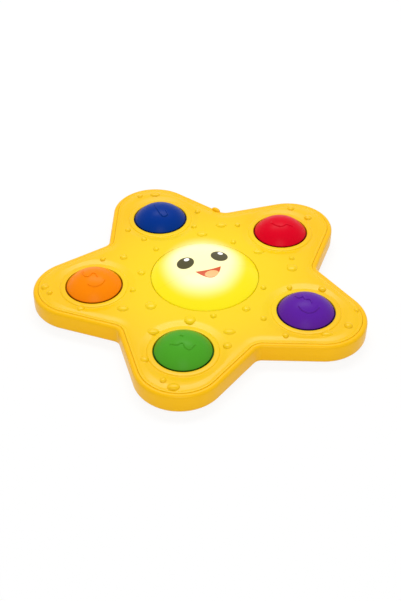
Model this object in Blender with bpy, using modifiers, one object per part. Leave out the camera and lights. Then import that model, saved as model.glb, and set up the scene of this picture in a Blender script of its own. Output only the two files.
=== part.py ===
"""Starfish activity toy: a flat five-armed star with a press button on each arm,
a lit dome in the middle, a speaker, a battery bay and a power switch below.

Metres, +Z up. The origin is under the middle of the toy, on the plane of its feet.
Heights inside the toy are measured from the underside of the bottom shell.
"""
import math

import bmesh
import bpy
from mathutils import Matrix, Vector

# Star outline
ARM_NAMES = ("red", "blue", "orange", "green", "purple")
FIRST_ARM_DEG = 18.0
ARM_STEP_DEG = 360.0 / len(ARM_NAMES)
TIP_SHIFT = 0.0142
TIP_MARGIN = 0.0028
VALLEY_SHIFT = 0.0127
VALLEY_ARC_R = 0.0088
LAND_W = 0.0136
TIP_STEP_DEG = 12.0

# Sides of the small round pieces and of the holes
SMALL_STEPS = 10
SCREW_STEPS = 8
HOLE_STEPS = 6

# Clearances shared by the whole toy
FIT = 0.0003
OVERRUN = 0.002
WELD = 0.00001

# Bottom shell
FLOOR_T = 0.0020
WALL_T = 0.0020
RIM_Z = 0.0175
RIM_R = 0.0030
RIM_LEDGE = 0.0010
RIM_FALL = 0.0006
BASE_R = 0.0030

# Top shell
LID_GAP = 0.0004
LID_WALL = 0.0020
LID_DEPTH = 0.0030
BEAD_RISE = 0.0004
BEAD_W = 0.0012
CREASE_W = 0.0028
CREASE_DROP = 0.0003
SHOULDER_W = 0.0065
PLATEAU_RISE = 0.0008
PLATE_T = 0.0021

# Press buttons
BUTTON_HOLE_R = 0.0252
BUTTON_GAP = 0.0007
BUTTON_RISE = 0.0125
BUTTON_WALL = 0.0018
BUTTON_TRAVEL = 0.0025
BUTTON_STEPS = 20
BUTTON_POST_R = 0.0040
RETAINER_REACH = 0.0018
RETAINER_T = 0.0015
COLLAR_GAP = 0.0007
COLLAR_T = 0.0016
BEZEL_DROP = 0.0004
BEZEL_W = 0.0047
BEZEL_T = 0.0024
MOAT_DROP = 0.0014
MOAT_W = 0.0006
DISH_W = 0.0055

# Raised lines on each button: waves, arcs, a hook and a dot, as shares of its radius from its axis
RIDGE_W = 0.0013
RIDGE_H = 0.0007
ORNAMENT_TURN_DEG = -25.0
ORNAMENT_SHARES = {
    "red": (
        ((-0.36, -0.08), (-0.18, -0.27), (0.02, -0.32), (0.20, -0.21), (0.40, -0.24)),),
    "blue": (
        ((-0.22, 0.18), (-0.11, -0.10), (0.00, -0.33), (0.14, -0.46), (0.28, -0.37), (0.25, -0.19)),),
    "orange": (
        ((-0.42, 0.26), (-0.32, -0.04), (-0.16, -0.12), (-0.05, 0.03), (0.08, 0.02), (0.16, -0.14)),
        ((-0.14, -0.46), (0.02, -0.53), (0.20, -0.50), (0.34, -0.38), (0.41, -0.22))),
    "green": (
        ((-0.08, 0.19), (-0.01, 0.16)),
        ((-0.39, -0.16), (-0.20, -0.24), (-0.02, -0.18), (0.08, -0.35), (0.22, -0.40), (0.38, -0.20))),
    "purple": (
        ((-0.37, 0.30), (-0.27, 0.12), (-0.13, 0.17), (-0.05, 0.00), (0.08, 0.02), (0.15, -0.14)),
        ((-0.30, -0.28), (-0.20, -0.44), (0.00, -0.54), (0.22, -0.48), (0.38, -0.30))),
}

# Switches under the buttons
SWITCH_BOARD_T = 0.0012
SWITCH_BOARD_LAP = 0.0010
STANDOFF_H = 0.0037
STANDOFF_R = 0.0020
STANDOFF_INSET = 0.0045
STANDOFF_TURNS_DEG = (0.0, 120.0, 240.0)
RUBBER_R = 0.0070
RUBBER_CROWN_R = 0.0035
RUBBER_FLANGE_T = 0.0010
RUBBER_PRESSED_H = 0.0024

# Lit dome and what lies under it
LIGHT_HOLE_R = 0.0479
LIGHT_GAP = 0.0006
LIGHT_RISE = 0.0121
LIGHT_WALL = 0.0020
LIGHT_STEPS = 32
LIGHT_FLANGE_REACH = 0.0022
LIGHT_FLANGE_T = 0.0015
LIGHT_POST_R = 0.0020
LIGHT_POST_INSET = 0.0011
LIGHT_POST_TURNS_DEG = (45.0, 135.0, 225.0, 315.0)

# Water drops moulded on the top shell
DROP_H = 0.0016
DROP_SINK = 0.0002
DROP_SMALL = (0.0027, 0.0030)
DROP_MEDIUM = (0.0036, 0.0038)
DROP_ROUND = (0.0049, 0.0052)
DROP_WIDE = (0.0052, 0.0036)
DROP_TURN_DEG = -25.0
# Bearing in degrees, share of the way from the dome's hole to an arm's tip, and size.
DROP_PLACE_SHARES = (
    (91.4, 0.889, DROP_SMALL), (85.3, 0.855, DROP_WIDE), (68.3, 0.492, DROP_SMALL),
    (71.9, 0.261, DROP_SMALL), (52.8, 0.290, DROP_WIDE), (42.3, 0.336, DROP_SMALL),
    (66.7, 0.135, DROP_WIDE), (111.0, 0.497, DROP_SMALL), (110.7, 0.290, DROP_SMALL),
    (113.5, 0.105, DROP_SMALL), (36.4, 0.079, DROP_SMALL), (10.2, 0.120, DROP_WIDE),
    (25.9, 0.831, DROP_MEDIUM), (16.6, 0.830, DROP_MEDIUM), (-7.4, 0.337, DROP_SMALL),
    (-17.1, 0.299, DROP_ROUND), (134.5, 0.292, DROP_MEDIUM), (139.9, 0.456, DROP_SMALL),
    (150.0, 0.082, DROP_MEDIUM), (172.1, 0.171, DROP_SMALL), (160.8, 0.897, DROP_MEDIUM),
    (164.5, 0.861, DROP_SMALL), (177.1, 0.649, DROP_MEDIUM), (187.3, 0.341, DROP_WIDE),
    (196.1, 0.133, DROP_ROUND), (232.4, 0.121, DROP_ROUND), (252.0, 0.064, DROP_SMALL),
    (282.6, 0.086, DROP_MEDIUM), (316.6, 0.054, DROP_SMALL), (259.7, 0.280, DROP_WIDE),
    (255.9, 0.435, DROP_MEDIUM), (285.1, 0.267, DROP_SMALL), (214.1, 0.363, DROP_WIDE),
    (219.9, 0.673, DROP_MEDIUM), (230.3, 0.849, DROP_SMALL), (234.3, 0.897, DROP_WIDE),
    (322.6, 0.267, DROP_SMALL), (325.0, 0.545, DROP_MEDIUM), (315.2, 0.862, DROP_SMALL),
    (305.7, 0.862, DROP_MEDIUM), (297.5, 0.764, DROP_WIDE), (284.7, 0.534, DROP_SMALL),
)

# One more drop sits on the bottom shell's rim, in the valley between red and blue.
RIM_DROP_ARM_DEG = FIRST_ARM_DEG + ARM_STEP_DEG
RIM_DROP_SIZE = (0.0022, 0.0046, 0.0024)
RIM_DROP_INSET = 0.0018
RIM_DROP_ALONG = 0.0030

# Three cells, their bay and its door
CELL_COUNT = 3
CELL_R = 0.00525
CELL_L = 0.0437
CELL_GAP = 0.0004
CELL_EDGE = 0.0004
NUB_R = 0.0019
NUB_H = 0.0008
SPRING_L = 0.0062
SPRING_R = 0.0027
SPRING_WIRE_R = 0.0003
SPRING_TURNS = 3
SPRING_TURN_POINTS = 8
CONTACT_T = 0.0004
CONTACT_W = 0.0080
CONTACT_H = 0.0084
TAB_W = 0.0030
BAY_WALL = 0.0016
BAY_ROOF_T = 0.0012
DOOR_T = 0.0016
DOOR_LAP = 0.0025
DOOR_CORNER_R = 0.0040
DOOR_PAD_T = 0.0020
DOOR_PAD_EDGE = 0.0020
DOOR_BOSS_R = 0.0039
DOOR_COLUMN_T = 0.0014

# Screws
SHANK_R = 0.0013
PILOT_GAP = 0.0003
HEAD_R = 0.0028
HEAD_H = 0.0018
CASE_SCREW_L = 0.0100
CASE_SCREW_FROM_TIP = 0.0165
CASE_WELL_D = 0.0045
CASE_BOSS_T = 0.0010
CASE_SPLIT_Z = 0.0090
LID_BOSS_R = 0.0034
DOOR_SCREW_L = 0.0080
DOOR_WELL_D = 0.0020
BOARD_SCREW_L = 0.0060
SPEAKER_SCREW_L = 0.0030
HOLE_SPARE = 0.0005

# Main board
BOARD_EDGE = 0.0035
BOARD_CORNER_R = 0.0120
BOARD_T = 0.0016
BOARD_POST_R = 0.0026
CHIP_R = 0.0060
CHIP_H = 0.0018
LAMP_R = 0.0025
LAMP_H = 0.0055
LAMP_SPREAD = 0.0240

# Speaker and its grille
SPEAKER_FROM_WALL = 0.0134
SPEAKER_R = 0.0200
SPEAKER_RIM_T = 0.0018
SPEAKER_RIM_W = 0.0025
SPEAKER_CUP_R = 0.0100
SPEAKER_CUP_H = 0.0060
SPEAKER_WALL = 0.0012
MAGNET_R = 0.0095
MAGNET_H = 0.0040
CONE_T = 0.0006
SPEAKER_POST_R = 0.0024
GRILLE_HOLE_R = 0.0012
GRILLE_RING_STEP = 0.0055
GRILLE_RINGS = 2

# Power switch
SWITCH_PLACE_R = 0.0400
SWITCH_BODY = (0.0180, 0.0080, 0.0060)
SWITCH_WALL = 0.0015
KNOB_L = 0.0050
KNOB_W = 0.0036
KNOB_PROUD = 0.0004
SWITCH_TRAVEL = 0.0040

# Rubber feet
FOOT_R = 0.0070
FOOT_PROUD = 0.0010
FOOT_SINK = 0.0007
FOOT_BEVEL = 0.0003
FOOT_GAP = 0.0007

# Leads
LEAD_R = 0.0006
LEAD_STEP = 0.0040
LEAD_POINT_STEP = 0.0060
SPEAKER_LEAD_DEG = 50.0

# Sizes that follow from the ones above
HALF_STEP = math.radians(ARM_STEP_DEG / 2.0)
BEZEL_R = BUTTON_HOLE_R + BEZEL_W
MOAT_R = BEZEL_R + MOAT_W
DISH_R = MOAT_R + DISH_W
BUTTON_PITCH_R = LIGHT_HOLE_R + LAND_W + DISH_R
TIP_CENTRE_R = BUTTON_PITCH_R + TIP_SHIFT
TIP_ARC_R = DISH_R + TIP_MARGIN
VALLEY_CENTRE_R = BUTTON_PITCH_R + VALLEY_SHIFT
REACH = TIP_CENTRE_R + TIP_ARC_R
LOWEST_TIP = TIP_CENTRE_R * math.cos(HALF_STEP) + TIP_ARC_R
STAR_Y = (LOWEST_TIP - REACH) / 2.0
LID_INSET = RIM_R + RIM_LEDGE + LID_GAP
BEAD_Z = RIM_Z + BEAD_RISE
PLATEAU_Z = RIM_Z + PLATEAU_RISE
PLATE_UNDER_Z = PLATEAU_Z - PLATE_T
BEZEL_Z = PLATEAU_Z - BEZEL_DROP
MOAT_Z = PLATEAU_Z - MOAT_DROP
BEZEL_UNDER_Z = BEZEL_Z - BEZEL_T
CAP_R = BUTTON_HOLE_R - BUTTON_GAP
RETAINER_R = BUTTON_HOLE_R + RETAINER_REACH
RETAINER_TOP_Z = BEZEL_UNDER_Z - FIT
RETAINER_Z = RETAINER_TOP_Z - RETAINER_T
COLLAR_R = RETAINER_R + COLLAR_GAP
COLLAR_OUT_R = COLLAR_R + COLLAR_T
SWITCH_BOARD_Z = FLOOR_T + STANDOFF_H + FIT
SWITCH_BOARD_TOP_Z = SWITCH_BOARD_Z + SWITCH_BOARD_T
SWITCH_BOARD_R = COLLAR_R + SWITCH_BOARD_LAP
RUBBER_Z = SWITCH_BOARD_TOP_Z + FIT
POST_Z = RUBBER_Z + RUBBER_PRESSED_H + BUTTON_TRAVEL
RUBBER_TOP_Z = POST_Z - FIT
LIGHT_R = LIGHT_HOLE_R - LIGHT_GAP
LIGHT_FLANGE_R = LIGHT_HOLE_R + LIGHT_FLANGE_REACH
LIGHT_FLANGE_TOP_Z = PLATE_UNDER_Z - FIT
LIGHT_FLANGE_Z = LIGHT_FLANGE_TOP_Z - LIGHT_FLANGE_T
HOLE_R = SHANK_R + PILOT_GAP
WELL_R = HEAD_R + 2.0 * PILOT_GAP
CASE_SCREW_R = REACH - CASE_SCREW_FROM_TIP
CASE_BOSS_R = WELL_R + CASE_BOSS_T
CELL_PITCH = 2.0 * CELL_R + CELL_GAP
NUB_SIDE = FIT + CONTACT_T + FIT + NUB_H
SPRING_SIDE = FIT + SPRING_L + FIT + CONTACT_T + FIT
BAY_L = NUB_SIDE + CELL_L + SPRING_SIDE
BAY_W = CELL_COUNT * CELL_PITCH + CELL_GAP
LEDGE_Z = DOOR_T + FIT
CELL_Z = LEDGE_Z + CELL_R
BAY_TOP_Z = CELL_Z + CELL_R + FIT
BAY_ROOF_Z = BAY_TOP_Z + BAY_ROOF_T
BOARD_Z = BAY_ROOF_Z + FIT
BOARD_TOP_Z = BOARD_Z + BOARD_T
BOARD_SCREW_X = BAY_L / 2.0 + BAY_WALL + FIT + BOARD_POST_R
LEAD_X = BAY_L / 2.0 + BAY_WALL + BOARD_POST_R + 2.0 * LEAD_R
LEAD_Y = BAY_W / 2.0 + BAY_WALL + 2.0 * LEAD_R
BOARD_L = 2.0 * (BOARD_SCREW_X + BOARD_EDGE)
BOARD_W = 2.0 * (LEAD_Y + BOARD_EDGE)
DOOR_BOSS_HOLE_R = DOOR_BOSS_R + FIT
DOOR_COLUMN_R = DOOR_BOSS_HOLE_R + DOOR_COLUMN_T
DOOR_SCREW_Y = BAY_W / 2.0 + BAY_WALL + DOOR_BOSS_HOLE_R + FIT
DOOR_L = BAY_L + 2.0 * DOOR_LAP
DOOR_W = 2.0 * (DOOR_SCREW_Y + DOOR_BOSS_HOLE_R + FIT)
DOOR_BOSS_TOP_Z = LEDGE_Z + DOOR_PAD_T - FIT
SPEAKER_Z = FLOOR_T + FIT
SPEAKER_RIM_TOP_Z = SPEAKER_Z + SPEAKER_RIM_T
SPEAKER_SCREW_R = SPEAKER_R + FIT + SPEAKER_POST_R
SPEAKER_PLACE_R = VALLEY_CENTRE_R - VALLEY_ARC_R - WALL_T - SPEAKER_FROM_WALL - SPEAKER_R
FOOT_HOLE_R = FOOT_R + FOOT_GAP

parts = bpy.data.collections.new("starfish_activity_toy")
cutters = bpy.data.collections.new("cutters")


def clear_scene():
    for thing in list(bpy.data.objects):
        bpy.data.objects.remove(thing, do_unlink=True)
    for group in (parts, cutters):
        bpy.context.scene.collection.children.link(group)


def plastic(name, colour, roughness, metallic=0.0):
    material = bpy.data.materials.new(name)
    material.use_nodes = True
    shader = material.node_tree.nodes["Principled BSDF"]
    shader.inputs["Base Color"].default_value = (*colour, 1.0)
    shader.inputs["Roughness"].default_value = roughness
    shader.inputs["Metallic"].default_value = metallic
    return material


def place(thing, parent, location=(0.0, 0.0, 0.0), turn=(0.0, 0.0, 0.0)):
    thing.parent = parent
    thing.location = location
    thing.rotation_euler = turn
    return thing


def new_part(name, data, material):
    thing = bpy.data.objects.new(name, data)
    thing.data.materials.append(material)
    parts.objects.link(thing)
    return thing


def new_tool(name, data):
    """A shape that only cuts or joins another."""
    thing = bpy.data.objects.new(name, data)
    thing.display_type = "WIRE"
    thing.hide_render = True
    cutters.objects.link(thing)
    return thing


def mesh_from(name, bm):
    bmesh.ops.recalc_face_normals(bm, faces=bm.faces)
    mesh = bpy.data.meshes.new(name)
    bm.to_mesh(mesh)
    bm.free()
    return mesh


def combine(target, tool, operation):
    step = target.modifiers.new(tool.name, "BOOLEAN")
    step.operation = operation
    step.solver = "EXACT"
    step.object = tool


def profile_mesh(name, points, closed=False):
    """Half outline in the XZ plane, outer side downwards, for a Screw modifier."""
    count = len(points)
    edges = [(i, i + 1) for i in range(count - 1)]
    if closed:
        edges.append((count - 1, 0))
    mesh = bpy.data.meshes.new(name)
    mesh.from_pydata([(x, 0.0, z) for x, z in points], edges, [])
    return mesh


def spin(thing, steps):
    turn = thing.modifiers.new("turn", "SCREW")
    turn.steps = steps
    turn.render_steps = steps
    turn.use_merge_vertices = True
    turn.merge_threshold = WELD
    turn.use_smooth_shade = True
    return thing


def turned_part(name, points, steps, material):
    return spin(new_part(name, profile_mesh(name, points), material), steps)


def turned_mesh(name, points, steps, places, closed=False, shift=0.0):
    """One mesh with the same turned shape at each place; shift turns its sides by a share of a step."""
    bm = bmesh.new()
    step = 2.0 * math.pi / steps
    for spot in places:
        turns = [Matrix.Rotation(step * (i + shift), 3, "Z") for i in range(steps)]
        rows = []
        for x, z in points:
            if x == 0.0:
                rows.append([bm.verts.new(spot + Vector((0.0, 0.0, z)))] * steps)
            else:
                rows.append([bm.verts.new(spot + turn @ Vector((x, 0.0, z))) for turn in turns])
        pairs = list(zip(rows, rows[1:]))
        if closed:
            pairs.append((rows[-1], rows[0]))
        for upper, lower in pairs:
            for i in range(steps):
                j = (i + 1) % steps
                bm.faces.new(dict.fromkeys((upper[i], lower[i], lower[j], upper[j])))
    return mesh_from(name, bm)


def cylinder_mesh(name, radius, low, high, steps, places):
    points = ((0.0, high), (radius, high), (radius, low), (0.0, low))
    return turned_mesh(name, points, steps, places)


def block(bm, size, centre, corner_r=0.0, segments=2):
    made = bmesh.ops.create_cube(bm, size=1.0)
    verts = made["verts"]
    bmesh.ops.scale(bm, vec=size, verts=verts)
    bmesh.ops.translate(bm, vec=centre, verts=verts)
    if corner_r > 0.0:
        edges = {e for v in verts for e in v.link_edges}
        upright = [e for e in edges if abs(e.verts[0].co.z - e.verts[1].co.z) > WELD]
        bmesh.ops.bevel(bm, geom=upright, offset=corner_r, segments=segments,
                        affect="EDGES", profile=0.5)


def block_mesh(name, blocks, corner_r=0.0):
    bm = bmesh.new()
    for size, centre in blocks:
        block(bm, size, centre, corner_r)
    return mesh_from(name, bm)


def span(size_x, size_y, low, high, x=0.0, y=0.0):
    """Size and centre of a box from its low and high faces."""
    return (size_x, size_y, high - low), (x, y, (low + high) / 2.0)


def polar(radius, degrees, z=0.0):
    angle = math.radians(degrees)
    return Vector((radius * math.cos(angle), radius * math.sin(angle), z))


def arm_bearing(index):
    return FIRST_ARM_DEG + ARM_STEP_DEG * index


def on_arms(radius):
    return [polar(radius, arm_bearing(i)) for i in range(len(ARM_NAMES))]


def side_normal():
    """Angle from an arm's axis to the outward normal of its straight side."""
    valley = Vector((math.cos(HALF_STEP), math.sin(HALF_STEP))) * VALLEY_CENTRE_R
    away = valley - Vector((TIP_CENTRE_R, 0.0))
    lean = math.asin((TIP_ARC_R + VALLEY_ARC_R) / away.length)
    return math.atan2(away.y, away.x) + lean - math.pi / 2.0


def arm_points(offset):
    """Outline of one arm and the valley after it, moved inwards by offset."""
    normal = side_normal()
    steps = int(math.degrees(normal) // TIP_STEP_DEG)
    half = [math.radians(TIP_STEP_DEG) * i for i in range(steps)] + [normal]
    angles = [-a for a in reversed(half[1:])] + half
    tip = Vector((TIP_CENTRE_R, 0.0))
    points = [tip + Vector((math.cos(a), math.sin(a))) * (TIP_ARC_R - offset) for a in angles]
    valley = Vector((math.cos(HALF_STEP), math.sin(HALF_STEP))) * VALLEY_CENTRE_R
    sweep = normal - HALF_STEP
    for turn in (sweep, 0.0, -sweep):
        a = math.pi + HALF_STEP + turn
        points.append(valley + Vector((math.cos(a), math.sin(a))) * (VALLEY_ARC_R + offset))
    return points


def star_loop(offset, z):
    loop = []
    for index in range(len(ARM_NAMES)):
        turn = Matrix.Rotation(math.radians(arm_bearing(index)), 2)
        loop.extend((*(turn @ point), z) for point in arm_points(offset))
    return loop


def star_mesh(name, stations):
    """Closed loft through star outlines given as (inward offset, height)."""
    bm = bmesh.new()
    rings = [[bm.verts.new(p) for p in star_loop(offset, z)] for offset, z in stations]
    count = len(rings[0])
    for near, far in zip(rings, rings[1:]):
        for i in range(count):
            j = (i + 1) % count
            bm.faces.new((near[i], near[j], far[j], far[i]))
    bm.faces.new(rings[0])
    bm.faces.new(rings[-1])
    return mesh_from(name, bm)


def edge_distance(x, y):
    """How far a point lies inside the star's outline."""
    step = 2.0 * HALF_STEP
    bearing = math.atan2(y, x) - math.radians(FIRST_ARM_DEG)
    bearing = abs((bearing + HALF_STEP) % step - HALF_STEP)
    point = Vector((math.cos(bearing), math.sin(bearing))) * math.hypot(x, y)
    tip = Vector((TIP_CENTRE_R, 0.0))
    normal = side_normal()
    out = Vector((math.cos(normal), math.sin(normal)))
    along = Vector((-out.y, out.x))
    valley = Vector((math.cos(HALF_STEP), math.sin(HALF_STEP))) * VALLEY_CENTRE_R
    if (point - tip).dot(along) < 0.0:
        return TIP_ARC_R - (point - tip).length
    if (point - valley).dot(along) > 0.0:
        return (point - valley).length - VALLEY_ARC_R
    return TIP_ARC_R - (point - tip).dot(out)


def blend(value, low, high, start, end):
    share = min(1.0, max(0.0, (value - low) / (high - low)))
    return start + (end - start) * share


def deck_height(x, y):
    """Height of the top shell's face, apart from bezels and drops."""
    inside = edge_distance(x, y)
    crease = LID_INSET + CREASE_W
    height = blend(inside, crease, LID_INSET + SHOULDER_W, BEAD_Z - CREASE_DROP, PLATEAU_Z)
    for button in on_arms(BUTTON_PITCH_R):
        away = math.hypot(x - button.x, y - button.y)
        height = min(height, blend(away, MOAT_R, DISH_R, MOAT_Z, PLATEAU_Z))
    return height


def crown(radius, rise, base_z, offset, reach, count):
    """Points from the axis out to reach on a round crown, moved inwards by offset."""
    ball = (radius * radius + rise * rise) / (2.0 * rise)
    centre_z = base_z + rise - ball
    inner = ball - offset
    last = math.asin(reach / inner)
    angles = [last * i / (count - 1) for i in range(count)]
    return [(inner * math.sin(a), centre_z + inner * math.cos(a)) for a in angles]


def crown_height(x, y):
    """Height of a button's crown over a point given from its axis."""
    ball = (CAP_R * CAP_R + BUTTON_RISE * BUTTON_RISE) / (2.0 * BUTTON_RISE)
    return BEZEL_Z + BUTTON_RISE - ball + math.sqrt(ball * ball - x * x - y * y)


def on_axis(points):
    """The same points with the first one exactly on the axis."""
    return [(0.0, points[0][1])] + points[1:]


def make_bottom_shell(material, star):
    inner_rim = RIM_R + RIM_LEDGE
    half_bend = 1.0 - math.sqrt(0.5)
    stations = (
        (WALL_T, FLOOR_T),
        (WALL_T, RIM_Z - RIM_R - RIM_LEDGE),
        (inner_rim, RIM_Z - RIM_R + RIM_LEDGE),
        (inner_rim, RIM_Z - RIM_FALL),
        (RIM_R, RIM_Z),
        (RIM_R * half_bend, RIM_Z - RIM_R * half_bend),
        (0.0, RIM_Z - RIM_R),
        (0.0, BASE_R),
        (BASE_R * half_bend, BASE_R * half_bend),
        (BASE_R, 0.0),
    )
    shell = new_part("bottom_shell", star_mesh("bottom_shell", stations), material)
    place(shell, star)

    pad_top = LEDGE_Z + DOOR_PAD_T
    pad = span(DOOR_L + 2.0 * DOOR_PAD_EDGE, DOOR_W + 2.0 * DOOR_PAD_EDGE, FLOOR_T / 2.0, pad_top)
    pad_mesh = block_mesh("door_pad", [pad], DOOR_CORNER_R)
    combine(shell, place(new_tool("door_pad", pad_mesh), star), "UNION")
    walls = span(BAY_L + 2.0 * BAY_WALL, BAY_W + 2.0 * BAY_WALL, FLOOR_T / 2.0, BAY_ROOF_Z)
    combine(shell, place(new_tool("bay_walls", block_mesh("bay_walls", [walls])), star), "UNION")

    posts = (
        ("case_bosses", CASE_BOSS_R, CASE_SPLIT_Z, on_arms(CASE_SCREW_R)),
        ("board_posts", BOARD_POST_R, BOARD_Z - FIT, two_sides(BOARD_SCREW_X, 0.0)),
        ("door_columns", DOOR_COLUMN_R, door_column_top(), two_sides(0.0, DOOR_SCREW_Y)),
        ("speaker_posts", SPEAKER_POST_R, SPEAKER_RIM_TOP_Z, speaker_screw_places()),
        ("light_posts", LIGHT_POST_R, LIGHT_FLANGE_Z - FIT, light_post_places()),
        ("switch_posts", STANDOFF_R, SWITCH_BOARD_Z - FIT, standoff_places()),
    )
    for name, radius, top, places in posts:
        steps = SMALL_STEPS if radius > STANDOFF_R else HOLE_STEPS
        mesh = cylinder_mesh(name, radius, FLOOR_T / 2.0, top, steps, places)
        combine(shell, place(new_tool(name, mesh), star), "UNION")

    recess = span(DOOR_L + 2.0 * FIT, DOOR_W + 2.0 * FIT, -OVERRUN, LEDGE_Z)
    recess_mesh = block_mesh("door_recess", [recess], DOOR_CORNER_R)
    combine(shell, place(new_tool("door_recess", recess_mesh), star), "DIFFERENCE")
    bay = [span(BAY_L, BAY_W, LEDGE_Z - FIT, BAY_TOP_Z)]
    combine(shell, place(new_tool("bay_space", block_mesh("bay_space", bay)), star), "DIFFERENCE")
    slots = [span(CONTACT_T + 2.0 * FIT, TAB_W + 2.0 * FIT, BAY_TOP_Z - FIT, BAY_ROOF_Z + OVERRUN, x, y)
             for x, y in tab_places()]
    slots.append(knob_path(-OVERRUN, FLOOR_T + OVERRUN))
    combine(shell, place(new_tool("slots", block_mesh("slots", slots)), star), "DIFFERENCE")

    door_sides = two_sides(0.0, DOOR_SCREW_Y)
    board_pilot_z = BOARD_TOP_Z - BOARD_SCREW_L - HOLE_SPARE
    speaker_pilot_z = SPEAKER_RIM_TOP_Z - SPEAKER_SCREW_L - FIT
    holes = (
        ("case_wells", WELL_R, -OVERRUN, CASE_WELL_D, on_arms(CASE_SCREW_R)),
        ("case_holes", HOLE_R, CASE_WELL_D - OVERRUN, CASE_SPLIT_Z + OVERRUN, on_arms(CASE_SCREW_R)),
        ("door_boss_holes", DOOR_BOSS_HOLE_R, LEDGE_Z - FIT, LEDGE_Z + DOOR_PAD_T, door_sides),
        ("door_pilots", HOLE_R, LEDGE_Z, door_column_top() - HOLE_SPARE - FIT, door_sides),
        ("board_pilots", HOLE_R, board_pilot_z, BOARD_Z + OVERRUN, two_sides(BOARD_SCREW_X, 0.0)),
        ("speaker_pilots", HOLE_R, speaker_pilot_z, SPEAKER_RIM_TOP_Z + OVERRUN, speaker_screw_places()),
        ("foot_wells", FOOT_HOLE_R, -OVERRUN, FOOT_SINK + FIT, on_arms(BUTTON_PITCH_R)),
    )
    for name, radius, low, high, places in holes:
        steps = SMALL_STEPS if radius > HOLE_R else HOLE_STEPS
        mesh = cylinder_mesh(name, radius, low, high, steps, places)
        combine(shell, place(new_tool(name, mesh), star), "DIFFERENCE")
    combine(shell, place(new_tool("rim_drop", rim_drop_mesh()), star), "UNION")
    through = FLOOR_T + OVERRUN
    grille = cylinder_mesh("grille", GRILLE_HOLE_R, -OVERRUN, through, HOLE_STEPS, grille_places())
    combine(shell, place(new_tool("grille", grille), star), "DIFFERENCE")
    return shell


def knob_path(low, high):
    """Space the switch knob slides in, from one height to another."""
    length = KNOB_L + SWITCH_TRAVEL + 2.0 * FIT
    return span(length, KNOB_W + 2.0 * FIT, low, high, 0.0, SWITCH_PLACE_R)


def two_sides(x, y):
    return [Vector((x, y, 0.0)), Vector((-x, -y, 0.0))]


def door_column_top():
    return DOOR_WELL_D + DOOR_SCREW_L + 2.0 * HOLE_SPARE


def speaker_screw_places():
    return [spot - Vector((0.0, SPEAKER_PLACE_R, 0.0)) for spot in two_sides(0.0, SPEAKER_SCREW_R)]


def light_post_places():
    return [polar(LIGHT_FLANGE_R - LIGHT_POST_INSET, turn) for turn in LIGHT_POST_TURNS_DEG]


def standoff_places():
    places = []
    for index, button in enumerate(on_arms(BUTTON_PITCH_R)):
        for turn in STANDOFF_TURNS_DEG:
            places.append(button + polar(SWITCH_BOARD_R - STANDOFF_INSET, arm_bearing(index) + turn))
    return places


def grille_places():
    middle = Vector((0.0, -SPEAKER_PLACE_R, 0.0))
    places = [middle]
    for ring in range(1, GRILLE_RINGS + 1):
        count = 6 * ring
        places.extend(middle + polar(GRILLE_RING_STEP * ring, 360.0 * i / count) for i in range(count))
    return places


def contact_rows():
    """Each contact's name, side of the bay, middle and width across the cells, and whether it has a tab."""
    return (
        ("contact_plus", -1.0, -CELL_PITCH, CONTACT_W, True),
        ("contact_link_left", -1.0, CELL_PITCH / 2.0, CELL_PITCH + CONTACT_W, False),
        ("contact_link_right", 1.0, -CELL_PITCH / 2.0, CELL_PITCH + CONTACT_W, False),
        ("contact_minus", 1.0, CELL_PITCH, CONTACT_W, True),
    )


def contact_x(side):
    return side * (BAY_L / 2.0 - FIT - CONTACT_T / 2.0)


def tab_places():
    return [(contact_x(side), y) for name, side, y, width, tab in contact_rows() if tab]


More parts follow.
